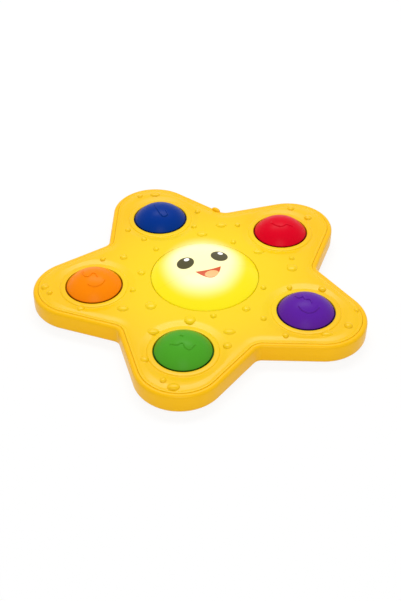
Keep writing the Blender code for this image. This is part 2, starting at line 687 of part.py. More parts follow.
def make_top_shell(material, star):
    lip_z = PLATE_UNDER_Z - LID_DEPTH
    stations = (
        (LID_INSET + LID_WALL, PLATE_UNDER_Z),
        (LID_INSET + LID_WALL, lip_z),
        (LID_INSET, lip_z),
        (LID_INSET, BEAD_Z - BEAD_RISE),
        (LID_INSET + BEAD_W / 2.0, BEAD_Z),
        (LID_INSET + BEAD_W, BEAD_Z),
        (LID_INSET + CREASE_W, BEAD_Z - CREASE_DROP),
        (LID_INSET + SHOULDER_W, PLATEAU_Z),
    )
    shell = new_part("top_shell", star_mesh("top_shell", stations), material)
    place(shell, star)
    middle = [Vector((0.0, 0.0, 0.0))]

    hole_bite = BUTTON_HOLE_R - BUTTON_GAP
    disc_r = DISH_R - MOAT_W
    overlap_z = PLATE_UNDER_Z + MOAT_W
    ring = (
        (disc_r, overlap_z), (disc_r, BEZEL_UNDER_Z), (COLLAR_OUT_R, BEZEL_UNDER_Z),
        (COLLAR_OUT_R, SWITCH_BOARD_TOP_Z + FIT), (COLLAR_R, SWITCH_BOARD_TOP_Z + FIT),
        (COLLAR_R, BEZEL_UNDER_Z), (hole_bite, BEZEL_UNDER_Z), (hole_bite, overlap_z),
    )
    collars = turned_mesh("collars", ring, BUTTON_STEPS, on_arms(BUTTON_PITCH_R), closed=True, shift=0.5)
    combine(shell, place(new_tool("collars", collars), star), "UNION")
    bosses = cylinder_mesh("lid_bosses", LID_BOSS_R, CASE_SPLIT_Z + FIT, PLATE_UNDER_Z + FIT, SMALL_STEPS,
                           on_arms(CASE_SCREW_R))
    combine(shell, place(new_tool("lid_bosses", bosses), star), "UNION")

    top = PLATEAU_Z + OVERRUN
    brim_r = DISH_R + MOAT_W
    brim_z = PLATEAU_Z + MOAT_W * (PLATEAU_Z - MOAT_Z) / DISH_W
    dish = (
        (0.0, top), (brim_r, top), (brim_r, brim_z),
        (MOAT_R, MOAT_Z), (BEZEL_R, MOAT_Z), (BEZEL_R - MOAT_W, BEZEL_Z), (BUTTON_HOLE_R, BEZEL_Z),
        (BUTTON_HOLE_R, BEZEL_UNDER_Z - OVERRUN), (0.0, BEZEL_UNDER_Z - OVERRUN),
    )
    dishes = turned_mesh("dishes", dish, BUTTON_STEPS, on_arms(BUTTON_PITCH_R))
    combine(shell, place(new_tool("dishes", dishes), star), "DIFFERENCE")
    below = PLATE_UNDER_Z - OVERRUN
    light_hole = cylinder_mesh("light_hole", LIGHT_HOLE_R, below, top, LIGHT_STEPS, middle)
    combine(shell, place(new_tool("light_hole", light_hole), star), "DIFFERENCE")
    hole_top = CASE_WELL_D + CASE_SCREW_L + HOLE_SPARE
    pilots = cylinder_mesh("case_pilots", HOLE_R, CASE_SPLIT_Z - OVERRUN, hole_top, HOLE_STEPS,
                           on_arms(CASE_SCREW_R))
    combine(shell, place(new_tool("case_pilots", pilots), star), "DIFFERENCE")
    combine(shell, place(new_tool("drops", drop_mesh()), star), "UNION")
    return shell


def rim_drop_mesh():
    """The drop on the bottom shell's rim, long side along the edge, just up an arm from its valley."""
    normal_deg = RIM_DROP_ARM_DEG - math.degrees(side_normal())
    valley = polar(VALLEY_CENTRE_R, RIM_DROP_ARM_DEG - ARM_STEP_DEG / 2.0, RIM_Z)
    spot = (valley - polar(VALLEY_ARC_R + RIM_DROP_INSET, normal_deg)
            + polar(RIM_DROP_ALONG, normal_deg + 90.0))
    shape = (Matrix.Translation(spot) @ Matrix.Rotation(math.radians(normal_deg), 4, "Z")
             @ Matrix.Diagonal((*RIM_DROP_SIZE, 1.0)))
    bm = bmesh.new()
    bmesh.ops.create_uvsphere(bm, u_segments=8, v_segments=4, radius=1.0, matrix=shape)
    return mesh_from("rim_drop", bm)


def drop_mesh():
    """Low water drops, each a squashed ball half sunk in the shell's face."""
    bm = bmesh.new()
    for bearing, share, (length, width) in DROP_PLACE_SHARES:
        spot = polar(LIGHT_HOLE_R + (REACH - LIGHT_HOLE_R) * share, bearing)
        spot.z = deck_height(spot.x, spot.y) - DROP_SINK
        shape = (Matrix.Translation(spot) @ Matrix.Rotation(math.radians(DROP_TURN_DEG), 4, "Z")
                 @ Matrix.Diagonal((length, width, DROP_H, 1.0)))
        bmesh.ops.create_uvsphere(bm, u_segments=8, v_segments=4, radius=1.0, matrix=shape)
    return mesh_from("drops", bm)


def ridge(bm, path, turn):
    """Raised ridge along a path over a button's crown: a loft of three-sided sections."""
    rows = []
    for index, point in enumerate(path):
        before = path[max(index - 1, 0)]
        after = path[min(index + 1, len(path) - 1)]
        side = (after - before).normalized()
        side = Vector((-side.y, side.x))
        row = []
        for reach, lift in ((RIDGE_W, -RIDGE_H), (0.0, RIDGE_H), (-RIDGE_W, -RIDGE_H)):
            spot = turn @ (point + side * reach)
            row.append(bm.verts.new((spot.x, spot.y, crown_height(spot.x, spot.y) + lift)))
        rows.append(row)
    for near, far in zip(rows, rows[1:]):
        for i in range(len(near)):
            j = (i + 1) % len(near)
            bm.faces.new((near[i], near[j], far[j], far[i]))
    bm.faces.new(rows[0])
    bm.faces.new(rows[-1])


def ornament_mesh(name, bearing):
    """A button's raised lines, the same way up on every button."""
    turn = Matrix.Rotation(math.radians(ORNAMENT_TURN_DEG - bearing), 2)
    bm = bmesh.new()
    for stroke in ORNAMENT_SHARES[name]:
        ridge(bm, [Vector(point) * CAP_R for point in stroke], turn)
    return mesh_from("ornament_" + name, bm)


def make_button(name, material, arm, bearing):
    inner_r = CAP_R - BUTTON_WALL
    outer = on_axis(crown(CAP_R, BUTTON_RISE, BEZEL_Z, 0.0, CAP_R, 5))
    inner = crown(CAP_R, BUTTON_RISE, BEZEL_Z, BUTTON_WALL, inner_r, 3)[1:]
    post_top = inner[0][1]
    points = outer + [
        (CAP_R, RETAINER_TOP_Z), (RETAINER_R, RETAINER_TOP_Z), (RETAINER_R, RETAINER_Z),
        (inner_r, RETAINER_Z)] + list(reversed(inner)) + [
        (BUTTON_POST_R, post_top), (BUTTON_POST_R, POST_Z), (0.0, POST_Z)]
    button = turned_part("button_" + name, points, BUTTON_STEPS, material)
    place(button, arm, (BUTTON_PITCH_R, 0.0, 0.0))
    tool = new_tool("ornament_" + name, ornament_mesh(name, bearing))
    place(tool, arm, (BUTTON_PITCH_R, 0.0, 0.0))
    combine(button, tool, "UNION")
    return button


def make_rubber_dome(name, material, arm):
    points = (
        (0.0, RUBBER_TOP_Z), (RUBBER_CROWN_R, RUBBER_TOP_Z),
        (RUBBER_R - RUBBER_FLANGE_T, RUBBER_Z + RUBBER_FLANGE_T), (RUBBER_R, RUBBER_Z + RUBBER_FLANGE_T),
        (RUBBER_R, RUBBER_Z), (0.0, RUBBER_Z))
    dome = turned_part("rubber_dome_" + name, points, SMALL_STEPS, material)
    return place(dome, arm, (BUTTON_PITCH_R, 0.0, 0.0))


def make_switch_board(name, material, arm):
    points = ((0.0, SWITCH_BOARD_TOP_Z), (SWITCH_BOARD_R, SWITCH_BOARD_TOP_Z),
              (SWITCH_BOARD_R, SWITCH_BOARD_Z), (0.0, SWITCH_BOARD_Z))
    board = turned_part("switch_board_" + name, points, BUTTON_STEPS, material)
    return place(board, arm, (BUTTON_PITCH_R, 0.0, 0.0))


def make_foot(name, material, arm):
    points = ((0.0, FOOT_SINK), (FOOT_R, FOOT_SINK), (FOOT_R, FOOT_BEVEL - FOOT_PROUD),
              (FOOT_R - FOOT_BEVEL, -FOOT_PROUD), (0.0, -FOOT_PROUD))
    foot = turned_part("foot_" + name, points, SMALL_STEPS, material)
    return place(foot, arm, (BUTTON_PITCH_R, 0.0, 0.0))


def make_screw(name, length, material, parent, location, turn=(0.0, 0.0, 0.0)):
    """Head down, shank up; the origin is the face under the head."""
    points = ((0.0, length), (SHANK_R, length), (SHANK_R, 0.0), (HEAD_R, 0.0),
              (HEAD_R, -HEAD_H), (0.0, -HEAD_H))
    screw = turned_part(name, points, SCREW_STEPS, material)
    return place(screw, parent, location, turn)


def make_light_dome(material, star):
    inner_r = LIGHT_R - LIGHT_WALL
    outer = on_axis(crown(LIGHT_R, LIGHT_RISE, PLATEAU_Z, 0.0, LIGHT_R, 5))
    inner = on_axis(crown(LIGHT_R, LIGHT_RISE, PLATEAU_Z, LIGHT_WALL, inner_r, 3))
    points = outer + [
        (LIGHT_R, LIGHT_FLANGE_TOP_Z), (LIGHT_FLANGE_R, LIGHT_FLANGE_TOP_Z),
        (LIGHT_FLANGE_R, LIGHT_FLANGE_Z), (inner_r, LIGHT_FLANGE_Z)] + list(reversed(inner))
    return place(turned_part("light_dome", points, LIGHT_STEPS, material), star)


def make_battery_door(material, star):
    plate = block_mesh("battery_door", [span(DOOR_L, DOOR_W, 0.0, DOOR_T)], DOOR_CORNER_R)
    door = place(new_part("battery_door", plate, material), star)
    sides = two_sides(0.0, DOOR_SCREW_Y)
    tools = (
        ("door_bosses", DOOR_BOSS_R, DOOR_T / 2.0, DOOR_BOSS_TOP_Z, "UNION"),
        ("door_wells", WELL_R, -OVERRUN, DOOR_WELL_D, "DIFFERENCE"),
        ("door_holes", HOLE_R, DOOR_WELL_D - OVERRUN, DOOR_BOSS_TOP_Z + OVERRUN, "DIFFERENCE"),
    )
    for name, radius, low, high, operation in tools:
        mesh = cylinder_mesh(name, radius, low, high, SMALL_STEPS, sides)
        combine(door, place(new_tool(name, mesh), star), operation)
    return door


def make_cells(material, contact_material, star):
    side_turns = (0.0, math.pi, 0.0)
    points = (
        (0.0, CELL_L + NUB_H), (NUB_R, CELL_L + NUB_H), (NUB_R, CELL_L), (CELL_R - CELL_EDGE, CELL_L),
        (CELL_R, CELL_L - CELL_EDGE), (CELL_R, CELL_EDGE), (CELL_R - CELL_EDGE, 0.0), (0.0, 0.0))
    for index, flip in enumerate(side_turns):
        y = CELL_PITCH * (index - 1)
        side = -1.0 if flip == 0.0 else 1.0
        cell = turned_part("battery_cell_%d" % (index + 1), points, SMALL_STEPS, material)
        back = -side * (BAY_L / 2.0 - SPRING_SIDE)
        place(cell, star, (back, y, CELL_Z), (0.0, side * math.pi / 2.0, 0.0))
        coil = coil_curve("contact_spring_%d" % (index + 1))
        spring = new_part(coil.name, coil, contact_material)
        place(spring, star, (back - side * FIT, y, CELL_Z), (0.0, -side * math.pi / 2.0, 0.0))


def coil_curve(name):
    """Open coil from z = 0 to the spring's length, each turn the same."""
    rise = SPRING_L - 2.0 * SPRING_WIRE_R
    count = SPRING_TURNS * SPRING_TURN_POINTS
    curve = bpy.data.curves.new(name, "CURVE")
    curve.dimensions = "3D"
    curve.bevel_depth = SPRING_WIRE_R
    curve.bevel_resolution = 0
    curve.use_fill_caps = True
    line = curve.splines.new("POLY")
    line.points.add(count)
    for i in range(count + 1):
        spot = polar(SPRING_R, 360.0 * i / SPRING_TURN_POINTS, SPRING_WIRE_R + rise * i / count)
        line.points[i].co = (*spot, 1.0)
    return curve


def make_contacts(material, star):
    for name, side, y, width, tab in contact_rows():
        x = contact_x(side)
        low = CELL_Z - CONTACT_H / 2.0
        blocks = [span(CONTACT_T, width, low, low + CONTACT_H, x, y)]
        plate = place(new_part(name, block_mesh(name, blocks), material), star)
        if tab:
            rise = [span(CONTACT_T, TAB_W, low + CONTACT_H / 2.0, BOARD_Z - FIT, x, y)]
            tool = new_tool(name + "_tab", block_mesh(name + "_tab", rise))
            combine(plate, place(tool, star), "UNION")


def make_main_board(board_material, chip_material, lamp_material, star):
    slab = block_mesh("main_board", [span(BOARD_L, BOARD_W, BOARD_Z, BOARD_TOP_Z)], BOARD_CORNER_R)
    board = place(new_part("main_board", slab, board_material), star)
    holes = cylinder_mesh("board_holes", HOLE_R, BOARD_Z - OVERRUN, BOARD_TOP_Z + OVERRUN,
                          HOLE_STEPS, two_sides(BOARD_SCREW_X, 0.0))
    combine(board, place(new_tool("board_holes", holes), star), "DIFFERENCE")
    base = BOARD_TOP_Z + FIT
    blob = ((0.0, base + CHIP_H), (CHIP_R / 2.0, base + CHIP_H), (CHIP_R, base), (0.0, base))
    place(turned_part("sound_chip", blob, SMALL_STEPS, chip_material), star)
    lamp = ((0.0, base + LAMP_H), (LAMP_R * math.sin(math.radians(45.0)), base + LAMP_H - LAMP_R / 4.0),
            (LAMP_R, base + LAMP_H - LAMP_R), (LAMP_R, base), (0.0, base))
    for name, side in (("lamp_left", -1.0), ("lamp_right", 1.0)):
        bulb = turned_part(name, lamp, HOLE_STEPS, lamp_material)
        place(bulb, star, (side * LAMP_SPREAD / 2.0, 0.0, 0.0))


def make_speaker(frame_material, cone_material, star):
    spot = (0.0, -SPEAKER_PLACE_R, 0.0)
    cup_z = SPEAKER_Z + SPEAKER_CUP_H
    shelf = SPEAKER_R - SPEAKER_RIM_W
    mouth = shelf - SPEAKER_WALL / 2.0
    frame = (
        (0.0, cup_z + MAGNET_H), (MAGNET_R, cup_z + MAGNET_H), (MAGNET_R, cup_z), (SPEAKER_CUP_R, cup_z),
        (shelf, SPEAKER_RIM_TOP_Z), (SPEAKER_R, SPEAKER_RIM_TOP_Z), (SPEAKER_R, SPEAKER_Z),
        (shelf, SPEAKER_Z), (mouth, SPEAKER_Z + SPEAKER_WALL / 2.0),
        (SPEAKER_CUP_R - SPEAKER_WALL, cup_z - SPEAKER_WALL), (0.0, cup_z - SPEAKER_WALL))
    place(turned_part("speaker_frame", frame, LIGHT_STEPS // 2, frame_material), star, spot)
    top = cup_z - SPEAKER_WALL - FIT
    inner = SPEAKER_CUP_R - SPEAKER_WALL - 2.0 * FIT
    outer = mouth - 2.0 * FIT
    cone = (
        (0.0, top), (inner, top), (outer, SPEAKER_Z + SPEAKER_WALL / 2.0 - FIT),
        (outer, SPEAKER_Z), (outer - CONE_T, SPEAKER_Z), (inner - CONE_T, top - CONE_T),
        (0.0, top - CONE_T))
    place(turned_part("speaker_cone", cone, LIGHT_STEPS // 2, cone_material), star, spot)


def make_power_switch(body_material, knob_material, star):
    length, width, height = SWITCH_BODY
    low = FLOOR_T + FIT
    y = SWITCH_PLACE_R
    body = block_mesh("switch_body", [span(length, width, low, low + height, 0.0, y)])
    body = place(new_part("switch_body", body, body_material), star)
    roof = low + height - SWITCH_WALL
    space = block_mesh("knob_space", [knob_path(low - OVERRUN, roof)])
    combine(body, place(new_tool("knob_space", space), star), "DIFFERENCE")
    top = roof - FIT
    knob = block_mesh("switch_knob", [((KNOB_L, KNOB_W, top + KNOB_PROUD), (0.0, 0.0, 0.0))])
    knob = new_part("switch_knob", knob, knob_material)
    place(knob, star, (-SWITCH_TRAVEL / 2.0, y, (top - KNOB_PROUD) / 2.0))


def smooth_route(knots):
    """Even points along a smooth curve through the knots."""
    line = [knots[0]] + list(knots) + [knots[-1]]
    fine = []
    for a, b, c, d in zip(line, line[1:], line[2:], line[3:]):
        steps = max(1, round((c - b).length / LEAD_POINT_STEP))
        for i in range(steps):
            t = i / steps
            fine.append(0.5 * ((2.0 * b) + (c - a) * t + (2.0 * a - 5.0 * b + 4.0 * c - d) * t * t
                               + (3.0 * b - a - 3.0 * c + d) * t * t * t))
    fine.append(knots[-1])
    return fine


def make_lead(name, knots, material, star):
    curve = bpy.data.curves.new(name, "CURVE")
    curve.dimensions = "3D"
    curve.bevel_depth = LEAD_R
    curve.bevel_resolution = 0
    curve.use_fill_caps = True
    points = smooth_route([Vector(knot) for knot in knots])
    line = curve.splines.new("POLY")
    line.points.add(len(points) - 1)
    for slot, spot in zip(line.points, points):
        slot.co = (*spot, 1.0)
    return place(new_part(name, curve, material), star)


def make_leads(material, star):
    """Leads from each switch board, the speaker and the power switch up to the main board."""
    rise_z = BOARD_Z - FIT
    run_z = LEDGE_Z + DOOR_PAD_T + 2.0 * LEAD_R
    foot_z = run_z + LEAD_STEP
    start = BUTTON_PITCH_R - SWITCH_BOARD_R + STANDOFF_INSET / 2.0
    middle = (start + BAY_L / 2.0) / 2.0
    beside_switch = (SWITCH_BODY[0] / 2.0 + LEAD_STEP, SWITCH_PLACE_R, run_z)
    ends = {
        "red": (LEAD_X, LEAD_Y / 2.0), "blue": (LEAD_Y, LEAD_Y), "orange": (-LEAD_X, LEAD_Y / 2.0),
        "green": (-LEAD_X, -LEAD_Y / 2.0), "purple": (LEAD_X, -LEAD_Y / 2.0)}
    for index, name in enumerate(ARM_NAMES):
        bearing = arm_bearing(index)
        x, y = ends[name]
        inward = beside_switch if name == "blue" else polar(middle, bearing, run_z)
        knots = (
            polar(start, bearing, SWITCH_BOARD_Z - FIT), polar(start, bearing, FLOOR_T + 4.0 * LEAD_R),
            polar(start - LEAD_STEP, bearing, FLOOR_T + 3.0 * LEAD_R), inward,
            (x, y, foot_z), (x, y, rise_z))
        make_lead("lead_" + name, knots, material, star)

    rim_top = SPEAKER_RIM_TOP_Z + FIT + LEAD_R
    speaker = Vector((0.0, -SPEAKER_PLACE_R, rim_top))
    start = SPEAKER_R - SPEAKER_RIM_W / 2.0
    knots = (
        speaker + polar(start, SPEAKER_LEAD_DEG), speaker + polar(start + LEAD_STEP, SPEAKER_LEAD_DEG),
        (LEAD_Y / 2.0, -LEAD_Y - LEAD_STEP, foot_z),
        (LEAD_Y / 2.0, -LEAD_Y, rise_z - LEAD_STEP), (LEAD_Y / 2.0, -LEAD_Y, rise_z))
    make_lead("lead_speaker", knots, material, star)
    back = SWITCH_PLACE_R - SWITCH_BODY[1] / 2.0 - FIT - LEAD_R
    top = FLOOR_T + SWITCH_BODY[2]
    knots = ((0.0, back, top), (-LEAD_STEP, back, top), (-LEAD_Y / 2.0, LEAD_Y, rise_z - LEAD_STEP),
             (-LEAD_Y / 2.0, LEAD_Y, rise_z))
    make_lead("lead_switch", knots, material, star)


def build():
    clear_scene()
    yellow = plastic("yellow_shell", (1.0, 0.60, 0.02), 0.35)
    amber = plastic("yellow_base", (0.95, 0.52, 0.02), 0.4)
    lens = plastic("lemon_dome", (1.0, 0.92, 0.25), 0.3)
    rubber = plastic("grey_rubber", (0.35, 0.35, 0.35), 0.8)
    board = plastic("green_board", (0.04, 0.25, 0.09), 0.5)
    steel = plastic("plated_steel", (0.6, 0.6, 0.6), 0.35, 1.0)
    black = plastic("black_plastic", (0.02, 0.02, 0.02), 0.5)
    paper = plastic("grey_paper", (0.12, 0.12, 0.12), 0.9)
    clear = plastic("clear_lamp", (0.9, 0.9, 0.85), 0.1)
    cell_skin = plastic("cell_sleeve", (0.10, 0.20, 0.25), 0.4)
    lead_skin = plastic("lead_sleeve", (0.55, 0.05, 0.04), 0.5)
    button_colours = {
        "red": (0.75, 0.0, 0.02), "blue": (0.0, 0.03, 0.30), "orange": (1.0, 0.22, 0.01),
        "green": (0.07, 0.37, 0.03), "purple": (0.13, 0.02, 0.40)}

    star = bpy.data.objects.new("star_centre", None)
    star.location = (0.0, STAR_Y, FOOT_PROUD)
    parts.objects.link(star)
    make_bottom_shell(amber, star)
    make_top_shell(yellow, star)
    make_light_dome(lens, star)
    make_battery_door(amber, star)
    make_cells(cell_skin, steel, star)
    make_contacts(steel, star)
    make_main_board(board, black, clear, star)
    make_speaker(steel, paper, star)
    make_power_switch(steel, black, star)
    make_leads(lead_skin, star)
    for index, name in enumerate(ARM_NAMES):
        arm = bpy.data.objects.new("arm_" + name, None)
        parts.objects.link(arm)
        place(arm, star, turn=(0.0, 0.0, math.radians(arm_bearing(index))))
        cap = plastic("button_" + name, button_colours[name], 0.3)
        make_button(name, cap, arm, arm_bearing(index))
        make_rubber_dome(name, rubber, arm)
        make_switch_board(name, board, arm)
        make_foot(name, rubber, arm)
        make_screw("case_screw_" + name, CASE_SCREW_L, steel, arm, (CASE_SCREW_R, 0.0, CASE_WELL_D - FIT))
    upside_down = (math.pi, 0.0, 0.0)
    board_spots = two_sides(BOARD_SCREW_X, 0.0)
    for side, door_spot, board_spot, speaker_spot in zip(
            ("a", "b"), two_sides(0.0, DOOR_SCREW_Y), board_spots, speaker_screw_places()):
        make_screw("door_screw_" + side, DOOR_SCREW_L, steel, star,
                   door_spot + Vector((0.0, 0.0, DOOR_WELL_D - FIT)))
        make_screw("board_screw_" + side, BOARD_SCREW_L, steel, star,
                   board_spot + Vector((0.0, 0.0, BOARD_TOP_Z + FIT)), upside_down)
        make_screw("speaker_screw_" + side, SPEAKER_SCREW_L, steel, star,
                   speaker_spot + Vector((0.0, 0.0, SPEAKER_RIM_TOP_Z + FIT)), upside_down)


build()
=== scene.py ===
"""Starfish activity toy: the finished shells, caps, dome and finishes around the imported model.

Metres. Pieces are drawn from the middle of the star, at the underside of the base shell.
"""
import math

import bmesh
import bpy
from mathutils import Matrix, Vector
from mathutils.geometry import delaunay_2d_cdt


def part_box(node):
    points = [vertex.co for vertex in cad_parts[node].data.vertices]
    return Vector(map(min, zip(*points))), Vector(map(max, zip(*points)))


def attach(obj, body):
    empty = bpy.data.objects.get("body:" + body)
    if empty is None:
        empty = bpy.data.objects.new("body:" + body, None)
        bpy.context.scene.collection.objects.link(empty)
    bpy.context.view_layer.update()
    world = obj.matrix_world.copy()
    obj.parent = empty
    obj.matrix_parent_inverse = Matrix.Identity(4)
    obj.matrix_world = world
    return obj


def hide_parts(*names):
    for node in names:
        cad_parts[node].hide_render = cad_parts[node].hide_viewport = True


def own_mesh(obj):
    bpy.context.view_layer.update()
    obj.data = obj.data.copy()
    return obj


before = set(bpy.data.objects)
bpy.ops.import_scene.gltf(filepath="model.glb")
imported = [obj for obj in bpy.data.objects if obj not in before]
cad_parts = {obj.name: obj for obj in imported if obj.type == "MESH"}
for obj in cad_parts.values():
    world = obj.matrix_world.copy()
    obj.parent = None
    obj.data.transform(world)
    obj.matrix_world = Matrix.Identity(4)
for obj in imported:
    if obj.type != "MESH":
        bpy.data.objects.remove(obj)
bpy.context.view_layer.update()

# Star outline
ARM_NAMES = ("red", "blue", "orange", "green", "purple")
ARM_BEARINGS = {name: 18.0 + 72.0 * i for i, name in enumerate(ARM_NAMES)}
HALF_STEP = math.radians(36.0)
LIGHT_HOLE_R = 0.0479
BUTTON_LIP_R = 0.02505
BEZEL_R = 0.0299
MOAT_R = 0.0305
DISH_R = 0.0360
BUTTON_PITCH_R = 0.0975
TIP_CENTRE_R = 0.1117
TIP_ARC_R = 0.0388
VALLEY_CENTRE_R = 0.1102
VALLEY_ARC_R = 0.0088
REACH = TIP_CENTRE_R + TIP_ARC_R
TIP_STEP_DEG = 2.6
VALLEY_STEPS = 12
SIDE_STEPS = 14
LONG_SIDE = 0.010

# Heights
FOOT_PROUD = 0.0010
FLOOR_T = 0.0020
WALL_T = 0.0020
RIM_Z = 0.0175
RIM_R = 0.0030
BASE_R = 0.0030
LID_INSET = 0.0044
LID_LIP_Z = 0.0132
LID_LIP_W = 0.0020
PLATEAU_Z = 0.0183
PLATE_UNDER_Z = 0.0162
BEZEL_Z = 0.0179
BEZEL_UNDER_Z = 0.0155
STAR_Y = (TIP_CENTRE_R * math.cos(HALF_STEP) + TIP_ARC_R - REACH) / 2.0
STAR_PLACE = Vector((0.0, STAR_Y, FOOT_PROUD))

# Caps, dome and what is under them
CAP_R = 0.0245
CROWN_R = 0.02388
CAP_RISE = 0.0125
CAP_WALL = 0.0018
CAP_STEPS = 96
CAP_FLANGE_R = 0.0270
CAP_FLANGE_TOP_Z = 0.0152
CAP_FLANGE_Z = 0.0137
POST_R = 0.0040
POST_Z = 0.0124
RIDGE_W = 0.00078
RIDGE_H = 0.0009
RIDGE_ROWS = (-1.5, -1.02, -0.88, -0.68, -0.4, 0.0, 0.4, 0.68, 0.88, 1.02, 1.5)
ORNAMENT_TURN = math.radians(-25.0)
ORNAMENTS = {
    "red": (((-0.36, -0.08), (-0.18, -0.27), (0.02, -0.32), (0.20, -0.21), (0.40, -0.24)),),
    "blue": (((-0.22, 0.18), (-0.11, -0.10), (0.00, -0.33), (0.14, -0.46), (0.28, -0.37), (0.25, -0.19)),),
    "orange": (
        ((-0.42, 0.26), (-0.32, -0.04), (-0.16, -0.12), (-0.05, 0.03), (0.08, 0.02), (0.16, -0.14)),
        ((-0.14, -0.46), (0.02, -0.53), (0.20, -0.50), (0.34, -0.38), (0.41, -0.22))),
    "green": (
        ((-0.08, 0.19), (-0.01, 0.16)),
        ((-0.39, -0.16), (-0.20, -0.24), (-0.02, -0.18), (0.08, -0.35), (0.22, -0.40), (0.38, -0.20))),
    "purple": (
        ((-0.37, 0.30), (-0.27, 0.12), (-0.13, 0.17), (-0.05, 0.00), (0.08, 0.02), (0.15, -0.14)),
        ((-0.30, -0.28), (-0.20, -0.44), (0.00, -0.54), (0.22, -0.48), (0.38, -0.30))),
}
LIGHT_R = 0.0473
LIGHT_RISE = 0.0121
LIGHT_WALL = 0.0020
LIGHT_STEPS = 144
LIGHT_FLANGE_R = 0.0501
LIGHT_FLANGE_TOP_Z = 0.0159
LIGHT_FLANGE_Z = 0.0144
RUBBER_Z = 0.0075
RUBBER_TOP_Z = 0.0121

# Water drops: bearing in degrees, share of the way from the dome's hole to an arm's tip, size
DROP_H = 0.0020
DROP_SINK = 0.0002
DROP_FOOT = 0.00016
DROP_CLEAR = 1.12
DROP_STEPS = 28
SMALL = (0.0027, 0.0030)
MEDIUM = (0.0036, 0.0038)
ROUND = (0.0049, 0.0052)
WIDE = (0.0052, 0.0036)
DROP_TURN = math.radians(-25.0)
DROPS = (
    (91.4, 0.889, SMALL), (85.3, 0.855, WIDE), (68.3, 0.492, SMALL), (71.9, 0.261, SMALL),
    (52.8, 0.290, WIDE), (42.3, 0.336, SMALL), (66.7, 0.135, WIDE), (111.0, 0.497, SMALL),
    (110.7, 0.290, SMALL), (113.5, 0.105, SMALL), (36.4, 0.079, SMALL), (10.2, 0.120, WIDE),
    (25.9, 0.831, MEDIUM), (16.6, 0.830, MEDIUM), (-7.4, 0.337, SMALL), (-17.1, 0.299, ROUND),
    (134.5, 0.292, MEDIUM), (139.9, 0.456, SMALL), (150.0, 0.082, MEDIUM), (172.1, 0.171, SMALL),
    (160.8, 0.897, MEDIUM), (164.5, 0.861, SMALL), (177.1, 0.649, MEDIUM), (187.3, 0.341, WIDE),
    (196.1, 0.133, ROUND), (232.4, 0.121, ROUND), (252.0, 0.064, SMALL), (282.6, 0.086, MEDIUM),
    (316.6, 0.054, SMALL), (259.7, 0.280, WIDE), (255.9, 0.435, MEDIUM), (285.1, 0.267, SMALL),
    (214.1, 0.363, WIDE), (219.9, 0.673, MEDIUM), (230.3, 0.849, SMALL), (234.3, 0.897, WIDE),
    (322.6, 0.267, SMALL), (325.0, 0.545, MEDIUM), (315.2, 0.862, SMALL), (305.7, 0.862, MEDIUM),
    (297.5, 0.764, WIDE), (284.7, 0.534, SMALL),
)
RIM_DROP_SIZE = (0.0022, 0.0046, 0.0024)

# Underside
DOOR_SIZE = (0.0580, 0.0543)
DOOR_T = 0.0016
DOOR_CORNER_R = 0.0040
DOOR_SCREW_Y = 0.0223
RECESS_GAP = 0.0003
LEDGE_Z = 0.0019
BAY_SIZE = (0.0530, 0.0331)
BAY_TOP_Z = 0.0127
BAY_ROOF_Z = 0.0139
CELL_R = 0.00525
CELL_L = 0.0437
CASE_SCREW_R = 0.1340
SPEAKER_Y = -0.0660
SWITCH_Y = 0.0400
SWITCH_SLOT = (0.0096, 0.0042)
GRILLE_PITCH = 0.0055
GRILLE_HOLE_R = 0.0012
FOOT_WELL_R = 0.0077
FOOT_WELL_Z = 0.0010
BAY_WALL_T = 0.0016
COLUMN_R = 0.0056
COLUMN_Z = 0.0110
RIB_PITCH = 0.0035
CHAMFER = 0.0003
BORE_R = 0.0016
WELL_R = 0.0034
CUT_Z = -0.0020
DOOR_SCREWS = (Vector((0.0, DOOR_SCREW_Y)), Vector((0.0, -DOOR_SCREW_Y)))

# Screws: length, height of the seat under the head, turned over, body
SCREW_CROSS = (0.0031, 0.0006, 0.0020)
THREAD_PITCH = 0.0007
SCREW_KINDS = {
    "case": (0.0100, 0.0042, False, "case"), "door": (0.0080, 0.0017, False, "door"),
    "board": (0.0060, 0.0161, True, "case"), "speaker": (0.0030, 0.0044, True, "case"),
}

# Cell springs
SPRING_TURNS = 5
SPRING_STEPS = 24
SPRING_R = 0.0027
SPRING_TAPER = 0.0007
SPRING_WIRE_R = 0.00028
SPRING_GAP = 0.0003

# Camera and light
CAMERA_TURNS_DEG = (-25.65, 40.15, -0.2077)
CAMERA_AIM = (-0.0178, -0.0392, 0.0189)
CAMERA_AWAY = 0.852
CAMERA_LENS_MM = 59.54
WHITE = (1.0, 1.0, 1.0)
WORLD_LIGHT = 0.50
FLOOR_TONE = (0.93, 0.93, 0.93)
FLOOR_SEEN_WHITE = 0.87
FLOOR_HALF = 8.0
FLOOR_Z = -0.0002
LAMPS = {
    "soft_overhead": ((0.304, 0.632, 1.438), 1.30, 0.40, 14.0),
    "soft_front": ((-0.547, -1.139, 1.137), 0.90, 0.90, 7.5),
}

